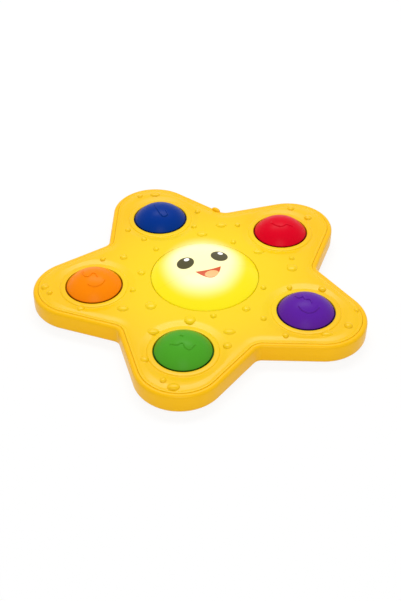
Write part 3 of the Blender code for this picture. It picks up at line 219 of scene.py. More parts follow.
# Profiles: the lid's edge by its inset, the face around a button by its radius, the tray's inner wall
LID_EDGE = (
    (0.0, 0.01724), (0.00012, 0.01748), (0.00032, 0.01764), (0.0006, 0.01772), (0.0010, 0.01774),
    (0.0014, 0.01773), (0.0017, 0.01770), (0.0020, 0.01760), (0.0022, 0.01746), (0.0024, 0.01738),
    (0.0026, 0.01738), (0.0028, 0.01746), (0.0031, 0.01756), (0.0037, 0.01766), (0.0045, 0.01780),
    (0.0054, 0.01797), (0.0064, 0.01813), (0.0074, 0.01824), (0.0084, PLATEAU_Z), (0.0092, PLATEAU_Z),
)
DISH = (
    (BUTTON_LIP_R, 0.01738), (0.02513, 0.01764), (0.02529, 0.01780), (0.02557, 0.01789), (0.02600, BEZEL_Z),
    (0.02860, 0.01785), (0.02925, 0.01772), (0.02965, 0.01746), (BEZEL_R, 0.01712), (0.03015, 0.01696),
    (MOAT_R, 0.01697), (0.03090, 0.01706), (0.03150, 0.01719), (0.03250, 0.01741), (0.03350, 0.01763),
    (0.03450, 0.01785), (0.03550, 0.01805), (0.03640, 0.01819), (0.03730, 0.01827), (0.03820, PLATEAU_Z),
    (0.03900, PLATEAU_Z),
)
LIGHT_LIP = ((0.0, -0.00030), (0.00012, -0.00012), (0.00032, -0.00003), (0.0006, 0.0), (0.0012, 0.0))
INNER_WALL = (
    (WALL_T + 0.002, FLOOR_T), (WALL_T, FLOOR_T), (WALL_T, 0.0135), (0.00422, 0.0155), (0.00422, 0.01714),
    (0.00418, 0.01722), (0.0041, 0.01729), (0.0039, 0.01736), (0.0035, 0.01745))
DROP_RINGS = (0.30, 0.55, 0.74, 0.87, 0.95, 1.0, 1.07, 1.18)


def polar(radius, degrees, z=0.0):
    angle = math.radians(degrees)
    return Vector((radius * math.cos(angle), radius * math.sin(angle), z))


BUTTONS = {name: polar(BUTTON_PITCH_R, bearing) for name, bearing in ARM_BEARINGS.items()}


TIP = Vector((TIP_CENTRE_R, 0.0))
VALLEY = Vector((math.cos(HALF_STEP), math.sin(HALF_STEP))) * VALLEY_CENTRE_R


def side_normal():
    """Angle from an arm's axis to the outward normal of its straight side."""
    away = VALLEY - TIP
    lean = math.asin((TIP_ARC_R + VALLEY_ARC_R) / away.length)
    return math.atan2(away.y, away.x) + lean - math.pi / 2.0


SIDE_NORMAL = side_normal()
SIDE_OUT = Vector((math.cos(SIDE_NORMAL), math.sin(SIDE_NORMAL)))
SIDE_ALONG = Vector((-SIDE_OUT.y, SIDE_OUT.x))


def star_outline(inset):
    """Outline of the star, moved inwards by inset, anticlockwise."""
    steps = math.ceil(math.degrees(SIDE_NORMAL) / TIP_STEP_DEG)
    points = []
    for i in range(-steps, steps + 1):
        a = SIDE_NORMAL * i / steps
        points.append(TIP + Vector((math.cos(a), math.sin(a))) * (TIP_ARC_R - inset))
    sweep = SIDE_NORMAL - HALF_STEP
    for i in range(VALLEY_STEPS + 1):
        a = math.pi + HALF_STEP + sweep * (1.0 - 2.0 * i / VALLEY_STEPS)
        points.append(VALLEY + Vector((math.cos(a), math.sin(a))) * (VALLEY_ARC_R + inset))
    corners = []
    for bearing in ARM_BEARINGS.values():
        turn = Matrix.Rotation(math.radians(bearing), 2)
        corners.extend(turn @ point for point in points)
    loop = []
    for start, end in zip(corners, corners[1:] + corners[:1]):
        pieces = SIDE_STEPS if (end - start).length > LONG_SIDE else 1
        loop.extend(tuple(start.lerp(end, i / pieces)) for i in range(pieces))
    return loop


def edge_distance(x, y):
    """How far a point lies inside the star's outline."""
    bearing = math.atan2(y, x) - math.radians(ARM_BEARINGS["red"])
    bearing = abs((bearing + HALF_STEP) % (2.0 * HALF_STEP) - HALF_STEP)
    point = Vector((math.cos(bearing), math.sin(bearing))) * math.hypot(x, y)
    if (point - TIP).dot(SIDE_ALONG) < 0.0:
        return TIP_ARC_R - (point - TIP).length
    if (point - VALLEY).dot(SIDE_ALONG) > 0.0:
        return (point - VALLEY).length - VALLEY_ARC_R
    return TIP_ARC_R - (point - TIP).dot(SIDE_OUT)


def read_profile(profile, place):
    """Height at a place on a profile, straight between its points."""
    if place <= profile[0][0]:
        return profile[0][1]
    for (near, low), (far, high) in zip(profile, profile[1:]):
        if place <= far:
            return low + (high - low) * (place - near) / (far - near)
    return profile[-1][1]


def eased_min(a, b, reach):
    """The lower of two heights, with a soft turn of the given reach where they cross."""
    share = max(reach - abs(a - b), 0.0) / reach
    return min(a, b) - share * share * reach / 4.0


def deck_height(x, y):
    """Height of the lid's face without its drops."""
    height = read_profile(LID_EDGE, edge_distance(x, y) - LID_INSET)
    for spot in BUTTONS.values():
        away = math.hypot(x - spot.x, y - spot.y)
        if away < DISH[-1][0]:
            height = eased_min(height, read_profile(DISH, away), 0.0001)
    return height + read_profile(LIGHT_LIP, math.hypot(x, y) - LIGHT_HOLE_R)


def drop_places():
    for bearing, share, size in DROPS:
        spot = polar(LIGHT_HOLE_R + (REACH - LIGHT_HOLE_R) * share, bearing)
        yield spot, size, deck_height(spot.x, spot.y) - DROP_SINK


DROP_PLACES = tuple(drop_places())


def lid_height(x, y):
    """Height of the lid's face with its drops."""
    height = deck_height(x, y)
    for spot, (length, width), base in DROP_PLACES:
        across, up = x - spot.x, y - spot.y
        if across * across + up * up > 0.00004:
            continue
        along = (across * math.cos(DROP_TURN) + up * math.sin(DROP_TURN)) / length
        aside = (up * math.cos(DROP_TURN) - across * math.sin(DROP_TURN)) / width
        bulge = 1.0 - along * along - aside * aside
        if bulge > 0.0:
            blob = base + DROP_H * math.sqrt(bulge)
            height = -eased_min(-height, -blob, DROP_FOOT)
    return height


def under_drop(x, y):
    return any(math.hypot(x - spot.x, y - spot.y) < DROP_CLEAR * max(size) for spot, size, _ in DROP_PLACES)


def runs_beside_drops(ring):
    """A closed ring as open runs of points, without those under water drops."""
    runs, run = [], []
    for x, y in [*ring, ring[0]]:
        if under_drop(x, y):
            runs.append(run)
            run = []
        else:
            run.append((x, y))
    return [run for run in [*runs, run] if len(run) > 1]


def under_height(x, y):
    """Height of the lid's underside: a lip at its edge, thicker around the buttons."""
    if edge_distance(x, y) < LID_INSET + LID_LIP_W:
        return LID_LIP_Z
    for spot in BUTTONS.values():
        if math.hypot(x - spot.x, y - spot.y) < DISH_R:
            return BEZEL_UNDER_Z
    return PLATE_UNDER_Z


# Mesh making

SHARP_ANGLE = math.radians(40.0)


def circle(radius, steps, middle=(0.0, 0.0), width=None, turn=0.0):
    """Points of a circle, or of an oval if it has its own width, anticlockwise."""
    points = []
    for i in range(steps):
        a = 2.0 * math.pi * i / steps
        x, y = radius * math.cos(a), (width or radius) * math.sin(a)
        points.append((middle[0] + x * math.cos(turn) - y * math.sin(turn),
                       middle[1] + x * math.sin(turn) + y * math.cos(turn)))
    return points


def carpet(bm, edge, holes, runs, loose, height):
    """A sheet inside edge and outside the holes, at a height read from its plan.

    Returns the vertices of its borders."""
    points, lines, borders = [], [], []
    for ring in [edge, *holes]:
        numbers = list(range(len(points), len(points) + len(ring)))
        points.extend(ring)
        borders.append(numbers)
        lines.extend(zip(numbers, numbers[1:] + numbers[:1]))
    for run in runs:
        numbers = range(len(points), len(points) + len(run))
        points.extend(run)
        lines.extend(zip(numbers, numbers[1:]))
    points.extend(loose)
    plan = [Vector((x, y)) * 1000.0 for x, y in points]
    found, _, faces, origins, _, inside = delaunay_2d_cdt(plan, lines, borders, 0, 0.0005)
    made = {}

    def vertex(number):
        if number not in made:
            x, y = found[number] / 1000.0
            made[number] = bm.verts.new((x, y, height(x, y)))
        return made[number]

    for face, within in zip(faces, inside):
        if list(within) == [0]:
            bm.faces.new([vertex(number) for number in face])
    place_of = {source: number for number, sources in enumerate(origins) for source in sources}
    return [[vertex(place_of[number]) for number in border] for border in borders]


def bridge(bm, upper, lower):
    for i in range(len(upper)):
        j = (i + 1) % len(upper)
        bm.faces.new((upper[i], upper[j], lower[j], lower[i]))


def loft(bm, outline, stations):
    """Closed body through copies of an outline, each with its own inset and height."""
    rings = [[bm.verts.new((x, y, z)) for x, y in outline(inset)] for inset, z in stations]
    for near, far in zip(rings, rings[1:]):
        bridge(bm, near, far)
    bm.faces.new(rings[0])
    bm.faces.new(rings[-1])


def turned(bm, profile, steps, middle=(0.0, 0.0), first=None):
    """Rings of a turned shape; a point on the axis closes it. First is a ring that it starts from."""
    rows = [first] if first else []
    for radius, z in profile:
        if radius == 0.0:
            rows.append([bm.verts.new((*middle[:2], z))] * steps)
        else:
            rows.append([bm.verts.new((x, y, z)) for x, y in circle(radius, steps, middle)])
    for upper, lower in zip(rows, rows[1:]):
        for i in range(steps):
            j = (i + 1) % steps
            bm.faces.new(dict.fromkeys((upper[i], lower[i], lower[j], upper[j])))
    return rows


def soften(points, reach, steps=3):
    """The same open profile with its corners rounded."""
    done = [points[0]]
    for before, corner, after in zip(points, points[1:], points[2:]):
        corner = Vector(corner)
        inward, outward = Vector(before) - corner, Vector(after) - corner
        size = min(reach, inward.length / 2.0, outward.length / 2.0)
        start, end = corner + inward.normalized() * size, corner + outward.normalized() * size
        for i in range(steps + 1):
            t = i / steps
            done.append(tuple(start * (1.0 - t) ** 2 + corner * 2.0 * t * (1.0 - t) + end * t * t))
    done.append(points[-1])
    return done


def crown(radius, rise, base_z, inset, reach, count):
    """Profile of a round crown from its edge at reach up to the axis, moved inwards by inset."""
    ball = (radius * radius + rise * rise) / (2.0 * rise)
    inner = ball - inset
    last = math.asin(reach / inner)
    points = []
    for i in range(count - 1):
        a = last * (1.0 - i / (count - 1))
        points.append((inner * math.sin(a), base_z + rise - ball + inner * math.cos(a)))
    return points + [(0.0, base_z + rise - inset)]


def rounded_box(size_x, size_y, corner_r, middle=(0.0, 0.0), steps=8):
    """Outline of a rectangle with round corners, for loft."""
    def outline(inset):
        radius = max(corner_r - inset, corner_r / 10.0)
        points = []
        for index, (side_x, side_y) in enumerate(((1, 1), (-1, 1), (-1, -1), (1, -1))):
            x = middle[0] + side_x * (size_x / 2.0 - inset - radius)
            y = middle[1] + side_y * (size_y / 2.0 - inset - radius)
            for i in range(steps + 1):
                a = math.pi / 2.0 * (index + i / steps)
                points.append((x + radius * math.cos(a), y + radius * math.sin(a)))
        return points
    return outline


def shade_edges(mesh):
    mesh.shade_smooth()
    mesh.set_sharp_from_angle(angle=SHARP_ANGLE)
    return mesh


def new_mesh(name, bm):
    bmesh.ops.recalc_face_normals(bm, faces=bm.faces)
    mesh = bpy.data.meshes.new(name)
    bm.to_mesh(mesh)
    bm.free()
    return shade_edges(mesh)


def new_object(name, data):
    thing = bpy.data.objects.new(name, data)
    bpy.context.scene.collection.objects.link(thing)
    return thing


def new_piece(name, mesh, finish, body, stands_for, place=STAR_PLACE):
    piece = new_object(name, mesh)
    piece.location = place
    if not mesh.materials:
        mesh.materials.append(finish)
    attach(piece, body)
    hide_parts(*stands_for)
    return piece


def carved(name, bm, *steps):
    """Mesh of a body after joining and cutting it with others; a step is an operation and its bodies."""
    work = new_object(name, new_mesh(name, bm))
    tools = []
    for operation, bodies in steps:
        for body in bodies:
            title = "tool_%d" % len(tools)
            tools.append(new_object(title, new_mesh(title, body)))
            step = work.modifiers.new(title, "BOOLEAN")
            step.operation = operation
            step.solver = "EXACT"
            step.object = tools[-1]
    graph = bpy.context.evaluated_depsgraph_get()
    mesh = bpy.data.meshes.new_from_object(work.evaluated_get(graph))
    mesh.name = name
    for thing in [work, *tools]:
        old = thing.data
        bpy.data.objects.remove(thing)
        bpy.data.meshes.remove(old)
    return shade_edges(mesh)


def body_of_loft(outline, stations):
    bm = bmesh.new()
    loft(bm, outline, stations)
    return bm


def body_of_turns(profile, steps, places):
    bm = bmesh.new()
    for spot in places:
        turned(bm, profile, steps, spot)
    return bm


def bars(size, places):
    """Square bars to cut with; a place is a middle and a turn about Z."""
    bm = bmesh.new()
    for middle, turn in places:
        shape = Matrix.Translation(middle) @ Matrix.Rotation(turn, 4, "Z") @ Matrix.Diagonal((*size, 1.0))
        bmesh.ops.create_cube(bm, size=1.0, matrix=shape)
    return bm


# Finishes

class Wire:
    """A socket of a finish. Sums, products and powers of wires add Math nodes."""

    def __init__(self, web, socket):
        self.web = web
        self.socket = socket

    def __add__(self, other):
        return self.web.maths("ADD", self, other)

    __radd__ = __add__

    def __sub__(self, other):
        return self.web.maths("SUBTRACT", self, other)

    def __rsub__(self, other):
        return self.web.maths("SUBTRACT", other, self)

    def __mul__(self, other):
        return self.web.maths("MULTIPLY", self, other)

    __rmul__ = __mul__

    def __truediv__(self, other):
        return self.web.maths("DIVIDE", self, other)

    def __pow__(self, other):
        return self.web.maths("POWER", self, other)


class Web:
    """A node tree, built from expressions."""

    def __init__(self, tree):
        self.tree = tree

    def node(self, kind, settings=(), values=(), output=0):
        """Adds a node: its settings first, then its sockets' values or links."""
        made = self.tree.nodes.new(kind)
        for key, value in dict(settings).items():
            setattr(made, key, value)
        for key, value in dict(values).items():
            self.feed(made.inputs[key], value)
        return Wire(self, made.outputs[output]) if made.outputs else None

    def feed(self, socket, value):
        if isinstance(value, Wire):
            self.tree.links.new(value.socket, socket)
        elif socket.type == "RGBA":
            socket.default_value = (*value, 1.0)
        else:
            socket.default_value = value

    def maths(self, operation, *numbers):
        return self.node("ShaderNodeMath", {"operation": operation}, enumerate(numbers))

    def mix(self, share, first, second):
        """A colour between two colours."""
        return self.node("ShaderNodeMix", {"data_type": "RGBA"}, {0: share, 6: first, 7: second}, 2)

    def fade(self, value, start, end):
        """0 at start, 1 at end, eased between them."""
        return self.node("ShaderNodeMapRange", {"interpolation_type": "SMOOTHSTEP"},
                         {"Value": value, "From Min": start, "From Max": end})

    def place(self):
        """Position on the piece."""
        return self.node("ShaderNodeTexCoord", output="Object")

    def outputs(self, wire, names):
        """Outputs of the node that a wire comes from."""
        return [Wire(self, wire.socket.node.outputs[name]) for name in names]

    def axes(self, vector):
        return self.outputs(self.node("ShaderNodeSeparateXYZ", values={0: vector}), range(3))

    def cloud(self, vector, scale, detail=2.0):
        return self.node("ShaderNodeTexNoise", values={"Vector": vector, "Scale": scale, "Detail": detail})


class Finish(Web):
    """A material, with one principled shader."""

    def __init__(self, name, **fixed):
        self.material = bpy.data.materials.new(name)
        self.material.use_nodes = True
        super().__init__(self.material.node_tree)
        self.shader = self.tree.nodes["Principled BSDF"]
        for key, value in fixed.items():
            self.set(key.replace("_", " ").title().replace("Ior", "IOR"), value)

    def set(self, socket, value):
        self.feed(self.shader.inputs[socket], value)

    def oval(self, x, y, middle, size, turn):
        """1 on the edge of an oval, less inside it."""
        right = x - middle[0]
        up = y - middle[1]
        along = (right * math.cos(turn) + up * math.sin(turn)) / size[0]
        aside = (up * math.cos(turn) - right * math.sin(turn)) / size[1]
        return (along * along + aside * aside) ** 0.5

    def dome_glow(self, x, y):
        """Mask of the painted glow: 1 over the lamps under the dome, falling to 0 around them."""
        return 1.0 - self.fade(self.oval(x, y, GLOW, GLOW_SIZE, GLOW_TURN), *GLOW_FADE)

    def relief(self, height, distance):
        self.set("Normal", self.node("ShaderNodeBump", values={"Distance": distance, "Height": height}))

    def dress(self, tone, roughness, height, depth):
        """Colour, roughness and a fine relief. Gives back the material."""
        self.set("Base Color", tone)
        self.set("Roughness", roughness)
        self.relief(height, depth)
        return self.material


def colour(red, green, blue):
    """A colour as it shows on a screen, 0 to 255, turned to linear light."""
    def linear(value):
        value /= 255.0
        return value / 12.92 if value <= 0.04045 else ((value + 0.055) / 1.055) ** 2.4
    return linear(red), linear(green), linear(blue)


def shade(tone, share):
    return tuple(min(1.0, max(0.0, value * share)) for value in tone)


MOTTLE = 0.03
PEEL = 0.000012


def moulded(name, tone, roughness, level, painted_shade_top=None):
    """Injection moulded plastic with a fine orange peel; a cap's wall gets painted shade below its brow,
    standing in for the shade in the gap around it.
    """
    finish = Finish(name, specular_ior_level=level)
    place = finish.place()
    skin = finish.mix(finish.cloud(place, 22.0), shade(tone, 1.0 - MOTTLE), shade(tone, 1.0 + MOTTLE))
    # Painted shade: below its brow the cap's wall is darkened by height, as shade from the gap around the
    # cap.
    if painted_shade_top:
        unshaded = finish.fade(finish.axes(place)[2], painted_shade_top - CAP_PAINTED_SHADE_FADE, painted_shade_top)
        skin = finish.mix(unshaded, shade(tone, CAP_PAINTED_SHADE_SHARE), skin)
    gloss = roughness + (finish.cloud(place, 160.0) - 0.5) * 0.08
    return finish.dress(skin, gloss, finish.cloud(place, 900.0, 3.0), PEEL)


# Painted shade on the caps' walls: the height where it starts, its fade and how dark it gets.
CAP_PAINTED_SHADE_TOP = 0.0181
CAP_PAINTED_SHADE_FADE = 0.0004
CAP_PAINTED_SHADE_SHARE = 0.36
LEMON = colour(241, 209, 6)
YOLK = colour(241, 192, 2)
AMBER = colour(248, 189, 3)
CAP_COLOURS = {
    "red": colour(219, 0, 34), "blue": colour(0, 50, 140), "orange": colour(252, 136, 2),
    "green": colour(74, 160, 38), "purple": colour(92, 32, 158),
}


# The face printed on the dome: where its parts are, in metres from the dome's axis
FACE_TURN = math.radians(-5.4)
EYES = ((-0.0133, 0.0118), (0.0184, 0.0088))
EYE_SIZE = (0.0077, 0.0088)
EYE_TURN = math.radians(-28.0)
GLINT_SHIFT = (0.0030, 0.0040)
GLINT_R = 0.0024
MOUTH = (0.0006, -0.0052)
MOUTH_HALF = 0.0119
MOUTH_TOP_DROP = 0.0018
MOUTH_DROP = 0.0118
MOUTH_BOW = 0.92
TONGUE = (0.0009, -0.0125)
TONGUE_SIZE = (0.0065, 0.0040)
# Painted glow: an oval over the lamps under the dome, where emission and a paler base colour stand in for
# their light.
GLOW = (0.0022, 0.0094)
GLOW_SIZE = (0.0321, 0.0393)
GLOW_TURN = math.radians(-25.65)
EYE_COLOUR = colour(74, 68, 30)
MOUTH_COLOUR = colour(212, 84, 42)
TONGUE_COLOUR = colour(246, 190, 124)
DOME_RIM = colour(243, 220, 6)
DOME_GLOW_TONE = colour(243, 232, 30)
# Painted glow: emission colours for the dome and the lid, the light leaking under the lid, its strength on
# the lid, the reach of the lemon tint and the heights of the leak.
DOME_LIGHT = (0.30, 0.30, 0.60)
LEAK_PAINTED_LIGHT = (1.0, 0.95, 0.6)
LID_PAINTED_GLOW = 0.9
PAINTED_LEMON_REACH = (0.050, 0.120)
PAINTED_LEAK_HEIGHTS = (0.0174, 0.0180)
GLOW_FADE = (0.70, 1.27)
INK_EDGE = 0.0002


def lid_finish():
    """Yellow plastic with painted light from the lit dome: more lemon towards it, and a paler colour and
    faint emission around its hole.
    """
    finish = Finish("yellow_shell", specular_ior_level=0.20)
    place = finish.place()
    x, y, z = finish.axes(place)
    away = (x * x + y * y) ** 0.5
    # Painted light: the lemon near the middle stands in for the dome's light falling on the lid.
    tone = finish.mix(finish.fade(away, *PAINTED_LEMON_REACH), LEMON, YOLK)
    wide = finish.cloud(place, 20.0)
    tone = finish.mix(wide * 0.10, tone, AMBER)
    # Painted glow around the dome's hole: paler colour and emission, strongest low in the hole, where the
    # lamps' light would leak under the lid.
    painted_glow = finish.dome_glow(x, y) * LID_PAINTED_GLOW
    tone = finish.mix(painted_glow, tone, DOME_GLOW_TONE)
    painted_leak = painted_glow * (1.0 - finish.fade(z, *PAINTED_LEAK_HEIGHTS))
    light = finish.mix(painted_glow, (0.0, 0.0, 0.0), DOME_LIGHT)
    finish.set("Emission Color", finish.mix(painted_leak, light, LEAK_PAINTED_LIGHT))
    finish.set("Emission Strength", 1.0)
    gloss = 0.30 + (finish.cloud(place, 150.0) - 0.5) * 0.08
    return finish.dress(tone, gloss, finish.cloud(place, 900.0, 3.0), PEEL)


def dome_finish():
    """Translucent lemon plastic with a painted glow, standing in for the lamps inside it, and a printed
    smiling face.
    """
    finish = Finish("lemon_dome", specular_ior_level=0.2, roughness=0.3)
    place = finish.place()
    x, y, _ = finish.axes(place)
    glow = finish.dome_glow(x, y)
    eyes = 0.0
    glints = 0.0
    for middle in EYES:
        reach = finish.oval(x, y, middle, EYE_SIZE, EYE_TURN)
        eyes = eyes + (1.0 - finish.fade(reach, 0.95, 1.04))
        spot = (middle[0] + GLINT_SHIFT[0], middle[1] + GLINT_SHIFT[1])
        glints = glints + (1.0 - finish.fade(finish.oval(x, y, spot, (GLINT_R, GLINT_R), 0.0), 0.8, 1.1))
    right = x - MOUTH[0]
    up = y - MOUTH[1]
    along = right * math.cos(FACE_TURN) + up * math.sin(FACE_TURN)
    rise = up * math.cos(FACE_TURN) - right * math.sin(FACE_TURN)
    bow = finish.maths("MAXIMUM", 1.0 - (along / MOUTH_HALF) * (along / MOUTH_HALF), 0.0)
    below_top = finish.fade(bow * -MOUTH_TOP_DROP - rise, -INK_EDGE, INK_EDGE)
    above_end = finish.fade(rise + bow ** MOUTH_BOW * MOUTH_DROP, -INK_EDGE, INK_EDGE)
    mouth = below_top * above_end
    tongue = 1.0 - finish.fade(finish.oval(x, y, TONGUE, TONGUE_SIZE, FACE_TURN), 0.93, 1.05)
    haze = finish.cloud(place, 30.0)
    # Painted glow: the base colour turns paler over the lamps under the dome, and emission is added below.
    body = finish.mix(glow, DOME_RIM, DOME_GLOW_TONE)
    body = finish.mix(haze * 0.08, body, DOME_RIM)
    dark = finish.mix(eyes, body, EYE_COLOUR)
    face = finish.mix(mouth, dark, finish.mix(tongue, MOUTH_COLOUR, TONGUE_COLOUR))
    finish.set("Base Color", finish.mix(glints, face, (1.0, 1.0, 1.0)))
    printed = finish.maths("MINIMUM", eyes + mouth, 1.0)
    light = finish.mix(glow, (0.05, 0.08, 0.0), DOME_LIGHT)
    light = finish.mix(printed, light, (0.0, 0.0, 0.0))
    finish.set("Emission Color", finish.mix(glints, light, (0.3, 0.3, 0.3)))
    finish.set("Emission Strength", 1.0)
    finish.relief(finish.cloud(place, 700.0), 0.00001)
    return finish.material


def rubber_finish():
    finish = Finish("grey_rubber", specular_ior_level=0.3)
    place = finish.place()
    grain = finish.cloud(place, 1200.0, 4.0)
    tone = finish.mix(finish.cloud(place, 60.0), colour(138, 138, 136), colour(160, 160, 157))
    return finish.dress(tone, 0.72 + (grain - 0.5) * 0.2, grain, 0.00004)


def steel_finish():
    """Plated steel with fine drawn lines and a little tarnish."""
    finish = Finish("plated_steel", metallic=1.0)
    place = finish.place()
    stretched = finish.node("ShaderNodeVectorMath", {"operation": "MULTIPLY"},
                            {0: place, 1: (1.0, 1.0, 12.0)})
    lines = finish.cloud(stretched, 700.0, 3.0)
    tone = finish.mix(finish.cloud(place, 90.0), colour(188, 188, 190), colour(214, 213, 210))
    return finish.dress(tone, 0.26 + lines * 0.16, lines, 0.000008)


def board_finish():
    """Green solder mask over copper tracks."""
    finish = Finish("green_board", specular_ior_level=0.4)
    place = finish.place()
    weave = finish.node("ShaderNodeTexBrick", values={
        "Vector": place, "Color1": (0.0, 0.0, 0.0), "Color2": (0.2, 0.2, 0.2), "Mortar": (1.0, 1.0, 1.0),
        "Scale": 160.0, "Mortar Size": 0.06}, output="Fac")
    tone = finish.mix(weave, colour(24, 92, 52), colour(52, 132, 76))
    return finish.dress(tone, 0.35 + finish.cloud(place, 400.0) * 0.15, weave, 0.00003)


def lamp_finish():
    """Clear diffuse lamp body with a warm chip low in it."""
    finish = Finish("clear_lamp", specular_ior_level=0.5)
    place = finish.place()
    chip = finish.fade(finish.axes(place)[2], 0.017, 0.020)
    finish.set("Base Color", finish.mix(chip, colour(250, 240, 190), colour(245, 246, 240)))
    finish.set("Roughness", 0.1 + finish.cloud(place, 300.0) * 0.08)
    return finish.material


def cell_finish():
    """Printed sleeve with a copper coloured band at the plus end, bare steel at both ends."""
    finish = Finish("cell_sleeve", specular_ior_level=0.5)
    place = finish.place()
    z = finish.axes(place)[2]
    band = finish.fade(z, CELL_L * 0.70, CELL_L * 0.71)
    sleeve = finish.mix(band, colour(30, 44, 58), colour(196, 120, 60))
    sleeve = finish.mix(finish.cloud(place, 80.0) * 0.12, sleeve, colour(10, 16, 24))
    ends = finish.maths("MAXIMUM", finish.fade(z, CELL_L - 0.0006, CELL_L - 0.0004),
                        1.0 - finish.fade(z, 0.0004, 0.0006))
    finish.set("Metallic", ends)
    tone = finish.mix(ends, sleeve, colour(205, 205, 202))
    gloss = 0.3 + finish.cloud(place, 500.0) * 0.1
    return finish.dress(tone, gloss, finish.cloud(place, 800.0), 0.00001)


def simple_finish(name, dark, light, roughness, scale, depth, level=0.4, detail=3.0):
    """Colour between two tones in a fine cloud, with relief of the same cloud."""
    finish = Finish(name, specular_ior_level=level)
    grain = finish.cloud(finish.place(), scale, detail)
    return finish.dress(finish.mix(grain, dark, light), roughness + (grain - 0.5) * 0.15, grain, depth)


YELLOW = lid_finish()
BASE_YELLOW = moulded("yellow_base", AMBER, 0.32, 0.15)
DOME = dome_finish()
RUBBER = rubber_finish()
STEEL = steel_finish()
BOARD = board_finish()
PAPER = simple_finish("cone_paper", colour(30, 30, 32), colour(58, 57, 56), 0.875, 500.0, 0.00008, 0.2, 6.0)
LAMP = lamp_finish()
CELL = cell_finish()
RESIN = simple_finish("black_resin", colour(14, 14, 15), colour(30, 30, 31), 0.45, 600.0, 0.00002)
LEADS = simple_finish("lead_sleeve", colour(150, 22, 18), colour(178, 34, 28), 0.45, 300.0, 0.00001)
CAPS = {name: moulded("cap_" + name, tone, 0.33, 0.06, CAP_PAINTED_SHADE_TOP) for name, tone in CAP_COLOURS.items()}


# Lid and base

def make_lid():
    """The inset star lid: bead, crease, shoulder, dishes, moats, bezels and water drops."""
    edge = star_outline(LID_INSET)
    holes = [circle(BUTTON_LIP_R, CAP_STEPS, spot) for spot in BUTTONS.values()]
    holes.append(circle(LIGHT_HOLE_R, LIGHT_STEPS))
    rings = [star_outline(LID_INSET + inset) for inset, _ in LID_EDGE[1:]]
    for spot in BUTTONS.values():
        rings.extend(circle(radius, CAP_STEPS, spot) for radius, _ in DISH[1:])
    rings.extend(circle(LIGHT_HOLE_R + away, LIGHT_STEPS) for away, _ in LIGHT_LIP[1:])
    loose = []
    for spot, (length, width), _ in DROP_PLACES:
        loose.append(tuple(spot)[:2])
        for share in DROP_RINGS:
            loose.extend(circle(length * share, DROP_STEPS, spot, width * share, DROP_TURN))
    bm = bmesh.new()
    runs = [run for ring in rings for run in runs_beside_drops(ring)]
    upper = carpet(bm, edge, holes, runs, loose, lid_height)
    steps = [star_outline(LID_INSET + LID_LIP_W - 0.00002), star_outline(LID_INSET + LID_LIP_W + 0.00002)]
    for spot in BUTTONS.values():
        steps.extend(circle(DISH_R + away, CAP_STEPS, spot) for away in (-0.00005, 0.00005))
    lower = carpet(bm, edge, holes, [[*step, step[0]] for step in steps], [], under_height)
    for near, far in zip(upper, lower):
        bridge(bm, near, far)
    new_piece("lid_shell", new_mesh("lid_shell", bm), YELLOW, "case", ["top_shell"])


def quarter(radius, middle, start_deg, end_deg, steps=6):
    """Points of an arc as (inset, height)."""
    points = []
    for i in range(steps + 1):
        a = math.radians(start_deg + (end_deg - start_deg) * i / steps)
        points.append((middle[0] - radius * math.cos(a), middle[1] + radius * math.sin(a)))
    return points


def hole_below(radius, top, lip=CHAMFER, bore_top=None):
    """Profile of a round hole from below with a chamfered mouth, and a screw's bore above it."""
    above = [(0.0, bore_top), (BORE_R, bore_top), (BORE_R, top)] if bore_top else [(0.0, top)]
    return [*above, (radius, top), (radius, lip), (radius + lip, 0.0), (radius + lip, CUT_Z), (0.0, CUT_Z)]


def mouth_below(top):
    """Stations of an opening from below with a chamfered mouth."""
    return (0.0, top), (0.0, CHAMFER), (-CHAMFER, 0.0), (-CHAMFER, CUT_Z)


def on_arms(radius):
    return [polar(radius, bearing) for bearing in ARM_BEARINGS.values()]


def grille_holes():
    """A hole in the middle of the speaker, and rings of six and twelve around it."""
    middle = Vector((0.0, SPEAKER_Y))
    return [middle] + [middle + polar(GRILLE_PITCH * ring, 60.0 * i / ring).xy
                       for ring in (1, 2) for i in range(6 * ring)]


def rim_drop():
    """The water drop on the rim between the blue and the red arm."""
    bearing = ARM_BEARINGS["blue"]
    normal = bearing - math.degrees(SIDE_NORMAL)
    spot = (polar(VALLEY_CENTRE_R, bearing - 36.0, RIM_Z) - polar(VALLEY_ARC_R + 0.0018, normal)
            + polar(0.0030, normal + 90.0))
    shape = (Matrix.Translation(spot) @ Matrix.Rotation(math.radians(normal), 4, "Z")
             @ Matrix.Diagonal((*RIM_DROP_SIZE, 1.0)))
    bm = bmesh.new()
    bmesh.ops.create_uvsphere(bm, u_segments=32, v_segments=20, radius=1.0, matrix=shape)
    return bm


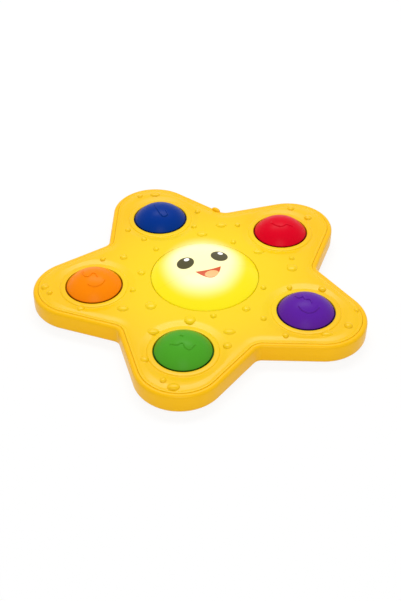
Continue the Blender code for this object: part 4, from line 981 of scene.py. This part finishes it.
def make_base():
    """The thick star tray: rounded rim and foot edge, battery bay, grille, screw wells."""
    rim = quarter(RIM_R, (RIM_R, RIM_Z - RIM_R), 90.0, 0.0)
    foot_edge = quarter(BASE_R, (BASE_R, BASE_R), 0.0, -90.0)
    tray = body_of_loft(star_outline, [*INNER_WALL, *rim, *foot_edge, (BASE_R + 0.0008, 0.0)])
    door_x, door_y = DOOR_SIZE
    bay_x, bay_y = BAY_SIZE
    gap = 2.0 * RECESS_GAP
    pad = rounded_box(door_x + 0.004, door_y + 0.004, 0.004)
    bay_walls = rounded_box(bay_x + 2.0 * BAY_WALL_T, bay_y + 2.0 * BAY_WALL_T, 0.0004)
    column = ((0.0, COLUMN_Z), (COLUMN_R, COLUMN_Z), (COLUMN_R, 0.001), (0.0, 0.001))
    boss_hole = ((0.0, 0.0104), (BORE_R, 0.0104), (BORE_R, 0.0039), (0.0042, 0.0039), (0.0042, 0.001),
                 (0.0, 0.001))
    joined = (
        body_of_loft(pad, ((0.0, 0.001), (0.0, 0.0039))),
        body_of_loft(bay_walls, ((0.0, 0.001), (0.0, BAY_ROOF_Z))),
        body_of_turns(column, 32, DOOR_SCREWS))
    cut = (
        body_of_loft(rounded_box(door_x + gap, door_y + gap, DOOR_CORNER_R), mouth_below(LEDGE_Z)),
        body_of_loft(rounded_box(bay_x, bay_y, 0.0006), ((0.0, BAY_TOP_Z), (0.0, 0.001))),
        body_of_turns(hole_below(WELL_R, 0.0045, 0.0004, 0.0095), 32, on_arms(CASE_SCREW_R)),
        body_of_turns(boss_hole, 32, DOOR_SCREWS),
        body_of_turns(hole_below(FOOT_WELL_R, FOOT_WELL_Z), 48, on_arms(BUTTON_PITCH_R)),
        body_of_turns(hole_below(GRILLE_HOLE_R, 0.003), 20, grille_holes()),
        body_of_loft(rounded_box(*SWITCH_SLOT, 0.0006, (0.0, SWITCH_Y)), mouth_below(0.003)))
    mesh = carved("base_shell", tray, ("UNION", joined), ("DIFFERENCE", cut), ("UNION", [rim_drop()]))
    new_piece("base_shell", mesh, BASE_YELLOW, "case", ["bottom_shell"])


# Dome and caps

def make_dome():
    bm = bmesh.new()
    outer = crown(LIGHT_R, LIGHT_RISE, PLATEAU_Z, 0.0, LIGHT_R, 22)
    inner_r = LIGHT_R - LIGHT_WALL
    inner = crown(LIGHT_R, LIGHT_RISE, PLATEAU_Z, LIGHT_WALL, inner_r, 14)
    skirt = soften([(LIGHT_R, LIGHT_FLANGE_TOP_Z), (LIGHT_FLANGE_R, LIGHT_FLANGE_TOP_Z),
                    (LIGHT_FLANGE_R, LIGHT_FLANGE_Z), (inner_r, LIGHT_FLANGE_Z)], 0.0002)
    brim = soften([outer[1], (LIGHT_R, outer[0][1]), skirt[0]], 0.0005)
    turned(bm, list(reversed(outer[2:])) + brim[:-1] + skirt + inner, LIGHT_STEPS)
    new_piece("lit_dome", new_mesh("lit_dome", bm), DOME, "case", ["light_dome"])


def smooth_line(points, steps=9):
    """Points along a smooth line through the given ones."""
    rows = [points[0], *points, points[-1]]
    line = []
    for before, start, end, after in zip(rows, rows[1:], rows[2:], rows[3:]):
        for i in range(steps):
            t = i / steps
            bend = before * 2.0 - start * 5.0 + end * 4.0 - after
            twist = start * 3.0 - before - end * 3.0 + after
            line.append((start * 2.0 + (end - before) * t + bend * t ** 2 + twist * t ** 3) / 2.0)
    return [*line, points[-1]]


def ornament_lines(name):
    """The raised lines on a cap, as points from its axis."""
    turn = Matrix.Rotation(ORNAMENT_TURN, 2)
    return [smooth_line([turn @ Vector(spot) * CAP_R for spot in line]) for line in ORNAMENTS[name]]


def ridge_rise(point, lines):
    """How far the raised lines lift a cap's crown at a point."""
    nearest = min((point - spot).length for line in lines for spot in line)
    share = min(nearest / RIDGE_W, 1.0)
    return RIDGE_H * (1.0 - share ** 3)


def cap_points(ornament):
    """Loose points of a cap's crown: even rings, and rows beside the raised lines."""
    points = [(0.0, 0.0)]
    radius = 0.0015
    while radius < CAP_R - 0.0006:
        points.extend(circle(radius, max(8, int(radius * 6.28 / 0.0017))))
        radius += 0.0015
    for line in ornament:
        for i, spot in enumerate(line):
            side = (line[min(i + 1, len(line) - 1)] - line[max(i - 1, 0)]).normalized()
            side = Vector((-side.y, side.x))
            for share in RIDGE_ROWS:
                points.append(tuple(spot + side * RIDGE_W * share))
    return points


def make_cap(name, spot):
    """A press cap: crown with raised lines, wall, retaining flange and post."""
    ball = (CROWN_R * CROWN_R + CAP_RISE * CAP_RISE) / (2.0 * CAP_RISE)
    crown_base = BEZEL_Z + CAP_RISE - ball
    edge_r = CROWN_R - 0.00015
    ornament = ornament_lines(name)

    def height(x, y):
        point = Vector((x - spot.x, y - spot.y))
        return crown_base + math.sqrt(ball * ball - point.length_squared) + ridge_rise(point, ornament)

    bm = bmesh.new()
    rings = [circle(edge_r - away, CAP_STEPS, spot) for away in (0.0003, 0.0009)]
    rings = [[*ring, ring[0]] for ring in rings]
    loose = [(x + spot.x, y + spot.y) for x, y in cap_points(ornament)]
    border = carpet(bm, circle(edge_r, CAP_STEPS, spot), [], rings, loose, height)[0]
    edge_z = border[0].co.z
    inner_r = CAP_R - CAP_WALL
    inner = crown(CAP_R, CAP_RISE, BEZEL_Z, CAP_WALL, inner_r, 10)
    post_top = inner[-1][1]
    inner = [point for point in inner if point[0] > POST_R + 0.0005]
    wall_r = CROWN_R - 0.0006
    skirt = soften([(wall_r, edge_z - 0.0010), (wall_r, CAP_FLANGE_TOP_Z), (CAP_FLANGE_R, CAP_FLANGE_TOP_Z),
                    (CAP_FLANGE_R, CAP_FLANGE_Z), (inner_r, CAP_FLANGE_Z), inner[0]], 0.0002)
    brow = [(CROWN_R - 0.00010, edge_z - 0.00012), (CROWN_R - 0.00012, edge_z - 0.0003),
            (CROWN_R - 0.00035, edge_z - 0.0006)]
    profile = brow + skirt + inner[1:] + [(POST_R, post_top - 0.0002), (POST_R, POST_Z + 0.0003),
                                          (POST_R - 0.0003, POST_Z), (0.0, POST_Z)]
    turned(bm, profile, CAP_STEPS, spot, border)
    title = "cap_" + name
    new_piece(title, new_mesh(title, bm), CAPS[name], name + "_button", ["button_" + name])


def make_snap_dome(name, spot):
    """Rubber snap dome under a cap."""
    profile = [
        (0.0, RUBBER_TOP_Z - 0.0003), (0.0016, RUBBER_TOP_Z - 0.0003), (0.0020, RUBBER_TOP_Z),
        (0.0033, RUBBER_TOP_Z), (0.0037, RUBBER_TOP_Z - 0.0004), (0.0039, RUBBER_TOP_Z - 0.0012),
        (0.0045, RUBBER_Z + 0.0020), (0.0055, RUBBER_Z + 0.0012), (0.0060, RUBBER_Z + 0.0010),
        (0.0068, RUBBER_Z + 0.0010), (0.0070, RUBBER_Z + 0.0008), (0.0070, RUBBER_Z), (0.0, RUBBER_Z)]
    mesh = new_mesh("snap_dome_" + name, body_of_turns(profile, 40, [spot]))
    piece = new_piece("snap_dome_" + name, mesh, RUBBER, "case", ["rubber_dome_" + name])
    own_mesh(piece)


def make_foot(name, spot):
    """Rubber foot: rounded edge, a shallow ring pressed into its face."""
    low = -FOOT_PROUD
    profile = [
        (0.0, 0.0007), (0.0069, 0.0007), (0.0070, 0.0006), (0.0070, low + 0.0004),
        (0.0069, low + 0.00015), (0.0067, low), (0.0052, low), (0.0050, low + 0.0003),
        (0.0042, low + 0.0003), (0.0040, low), (0.0, low)]
    mesh = new_mesh("foot_pad_" + name, body_of_turns(profile, 48, [spot]))
    new_piece("foot_pad_" + name, mesh, RUBBER, "case", ["foot_" + name])


# Screws

def screw_mesh(length):
    """Pan head with a cross recess, below a shank with turned threads."""
    profile = [(0.0, length), (0.0006, length), (0.0010, length - 0.0008)]
    z = length - 0.0012
    while z > 0.0010:
        profile.extend(((0.0013, z), (0.00105, z - 0.00035)))
        z -= THREAD_PITCH
    profile.extend([(0.0011, 0.0), (0.0027, 0.0), (0.0028, -0.0003), (0.0027, -0.0011), (0.0023, -0.0016),
                    (0.0017, -0.0018), (0.0, -0.0018)])
    cross = [bars(SCREW_CROSS, [((0.0, 0.0, -0.0019), turn)]) for turn in (0.0, math.pi / 2.0)]
    return carved("screw", body_of_turns(profile, 32, [Vector((0.0, 0.0))]), ("DIFFERENCE", cross))


def make_screws():
    """The board's and the speaker's screws go in from above, so they are turned over."""
    meshes = {kind: screw_mesh(row[0]) for kind, row in SCREW_KINDS.items()}
    screws = [("case", name) for name in ARM_NAMES]
    screws += [(kind, side) for side in "ab" for kind in ("door", "board", "speaker")]
    for kind, end in screws:
        _, seat_z, turned_over, body = SCREW_KINDS[kind]
        name = "%s_screw_%s" % (kind, end)
        low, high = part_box(name)
        middle = (low + high) / 2.0
        piece = new_piece("cross_" + name, meshes[kind], STEEL, body, [name],
                          Vector((middle.x, middle.y, seat_z + FOOT_PROUD)))
        if turned_over:
            piece.rotation_euler = (math.pi, 0.0, 0.0)


# Door, switch and what the open bay shows

def make_door():
    """Battery door: rounded edge, two screw bosses with wells, raised grip ribs."""
    plate = body_of_loft(rounded_box(*DOOR_SIZE, DOOR_CORNER_R), (
        (0.0003, 0.0), (0.0001, 0.0001), (0.0, 0.0003), (0.0, DOOR_T - 0.0002), (0.0002, DOOR_T)))
    boss = (0.0, 0.0036), (0.0037, 0.0036), (0.0039, 0.0034), (0.0039, 0.0008), (0.0, 0.0008)
    bosses = body_of_turns(boss, 32, DOOR_SCREWS)
    wells = body_of_turns(hole_below(WELL_R, 0.0020, CHAMFER, 0.005), 32, DOOR_SCREWS)
    ribs = bmesh.new()
    for i in range(-2, 3):
        outline = rounded_box(0.0180, 0.0010, 0.00049, (0.0, RIB_PITCH * i))
        loft(ribs, outline, ((0.0002, -0.00035), (0.00005, -0.0003), (0.0, 0.0), (0.0, 0.0008)))
    mesh = carved("battery_lid", plate, ("UNION", [bosses]), ("DIFFERENCE", [wells]), ("UNION", [ribs]))
    new_piece("battery_lid", mesh, BASE_YELLOW, "door", ["battery_door"])


def make_knob():
    """Slide knob: a block with three grooves across its face."""
    low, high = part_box("switch_knob")
    size = high - low
    half = size.z / 2.0
    block = body_of_loft(rounded_box(size.x, size.y, 0.0004), (
        (0.0002, -half), (0.0, -half + 0.0002), (0.0, half)))
    grooves = bars((0.0005, 0.01, 0.0006), [((0.0012 * i, 0.0, -half), 0.0) for i in (-1, 0, 1)])
    new_piece("slide_knob", carved("slide_knob", block, ("DIFFERENCE", [grooves])), RESIN, "power_knob",
              ["switch_knob"], (low + high) / 2.0)


def make_cells():
    """Three cells, each with its flat end against its spring."""
    profile = [
        (0.0, CELL_L + 0.0008), (0.0016, CELL_L + 0.0008), (0.0019, CELL_L + 0.0006), (0.0019, CELL_L),
        (0.0040, CELL_L - 0.0001), (0.0049, CELL_L), (CELL_R, CELL_L - 0.0003), (CELL_R, 0.0003),
        (0.0050, 0.0), (0.0036, 0.0), (0.0034, 0.0002), (0.0, 0.0002)]
    mesh = new_mesh("cell", body_of_turns(profile, 48, [Vector((0.0, 0.0))]))
    for index in range(1, 4):
        name = "battery_cell_%d" % index
        low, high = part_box(name)
        spring_low, spring_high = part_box("contact_spring_%d" % index)
        toward_plus = 1.0 if (spring_low + spring_high).x < (low + high).x else -1.0
        back = low.x if toward_plus > 0.0 else high.x
        cell = new_piece("cell_%d" % index, mesh, CELL, "case", [name],
                         Vector((back, (low.y + high.y) / 2.0, (low.z + high.z) / 2.0)))
        cell.rotation_euler = (0.0, toward_plus * math.pi / 2.0, 0.0)
        make_spring(index, spring_low, spring_high, toward_plus)


def make_spring(index, low, high, toward_cell):
    """A coil that narrows towards the cell."""
    curve = bpy.data.curves.new("spring_coil_%d" % index, "CURVE")
    curve.dimensions = "3D"
    curve.bevel_depth = SPRING_WIRE_R
    curve.bevel_resolution = 3
    curve.use_fill_caps = True
    line = curve.splines.new("POLY")
    count = SPRING_TURNS * SPRING_STEPS
    line.points.add(count)
    length = high.x - low.x - 2.0 * SPRING_GAP
    start = low.x if toward_cell > 0.0 else high.x
    y, z = (low.y + high.y) / 2.0, (low.z + high.z) / 2.0
    for i in range(count + 1):
        share = i / count
        radius = SPRING_R - SPRING_TAPER * share
        a = 2.0 * math.pi * i / SPRING_STEPS
        x = start + toward_cell * (SPRING_GAP + length * share)
        line.points[i].co = (x, y + radius * math.cos(a), z + radius * math.sin(a), 1.0)
    new_piece(curve.name, curve, STEEL, "case", ["contact_spring_%d" % index],
              Vector((0.0, 0.0, 0.0)))


def finish_inner_parts():
    """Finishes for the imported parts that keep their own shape."""
    finishes = (
        (STEEL, ("contact_", "speaker_frame", "switch_body")),
        (BOARD, ("main_board", "switch_board_")),
        (RESIN, ("sound_chip",)),
        (LAMP, ("lamp_",)),
        (PAPER, ("speaker_cone",)),
        (LEADS, ("lead_",)),
    )
    for name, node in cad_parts.items():
        for finish, starts in finishes:
            if name.startswith(starts):
                node.data.materials.clear()
                node.data.materials.append(finish)


# Stage

def add_lamp(name, place, width, height, watts):
    light = bpy.data.lights.new(name, "AREA")
    light.shape = "ELLIPSE"
    light.size = width
    light.size_y = height
    light.energy = watts
    lamp = new_object(name, light)
    lamp.location = place
    lamp.rotation_euler = Vector(place).to_track_quat("Z", "Y").to_euler()


def lit_and_seen(owner, lit, seen, output, whiteness=1.0):
    """Nodes of a world or a floor: lit lights the toy, seen is what the camera and reflections find."""
    owner.use_nodes = True
    owner.node_tree.nodes.clear()
    web = Web(owner.node_tree)
    kinds = ("Is Camera Ray", "Is Glossy Ray", "Is Transmission Ray")
    camera, glossy, clear = web.outputs(web.node("ShaderNodeLightPath"), kinds)
    share = web.maths("MAXIMUM", web.maths("MAXIMUM", camera, glossy), clear) * whiteness
    looks = [web.node(kind, values=values) for kind, values in (lit, seen)]
    both = web.node("ShaderNodeMixShader", values={0: share, 1: looks[0], 2: looks[1]})
    web.node(output, values={"Surface": both})


def make_stage():
    """A soft white studio, with a floor that keeps the toy's shadow."""
    world = bpy.data.worlds.new("studio")
    bpy.context.scene.world = world
    lit_and_seen(world, ("ShaderNodeBackground", {"Color": WHITE, "Strength": WORLD_LIGHT}),
                 ("ShaderNodeBackground", {"Color": WHITE, "Strength": 1.0}), "ShaderNodeOutputWorld")
    bm = bmesh.new()
    bmesh.ops.create_grid(bm, x_segments=1, y_segments=1, size=FLOOR_HALF)
    floor = new_object("floor", new_mesh("floor", bm))
    floor.location.z = FLOOR_Z
    ground = bpy.data.materials.new("studio_floor")
    lit_and_seen(ground, ("ShaderNodeBsdfDiffuse", {"Color": FLOOR_TONE}),
                 ("ShaderNodeEmission", {"Color": WHITE, "Strength": 1.0}), "ShaderNodeOutputMaterial",
                 FLOOR_SEEN_WHITE)
    floor.data.materials.append(ground)
    for name, lamp in LAMPS.items():
        add_lamp(name, *lamp)


def make_camera():
    azimuth, elevation, roll = (math.radians(angle) for angle in CAMERA_TURNS_DEG)
    back = Vector((math.sin(azimuth) * math.cos(elevation), -math.cos(azimuth) * math.cos(elevation),
                   math.sin(elevation)))
    level = Vector((math.cos(azimuth), math.sin(azimuth), 0.0))
    upright = back.cross(level)
    right = level * math.cos(roll) - upright * math.sin(roll)
    up = level * math.sin(roll) + upright * math.cos(roll)
    lens = bpy.data.cameras.new("camera")
    lens.lens = CAMERA_LENS_MM
    lens.sensor_width = 36.0
    lens.sensor_fit = "AUTO"
    camera = new_object("camera", lens)
    place = Vector(CAMERA_AIM) + back * CAMERA_AWAY
    camera.matrix_world = Matrix.Translation(place) @ Matrix((right, up, back)).transposed().to_4x4()
    bpy.context.scene.camera = camera


make_camera()
make_stage()
make_lid()
make_base()
make_dome()
for cap_name, cap_spot in BUTTONS.items():
    make_cap(cap_name, cap_spot)
    make_snap_dome(cap_name, cap_spot)
    make_foot(cap_name, cap_spot)
make_screws()
make_door()
make_knob()
make_cells()
finish_inner_parts()
bpy.context.scene.view_settings.view_transform = "Standard"
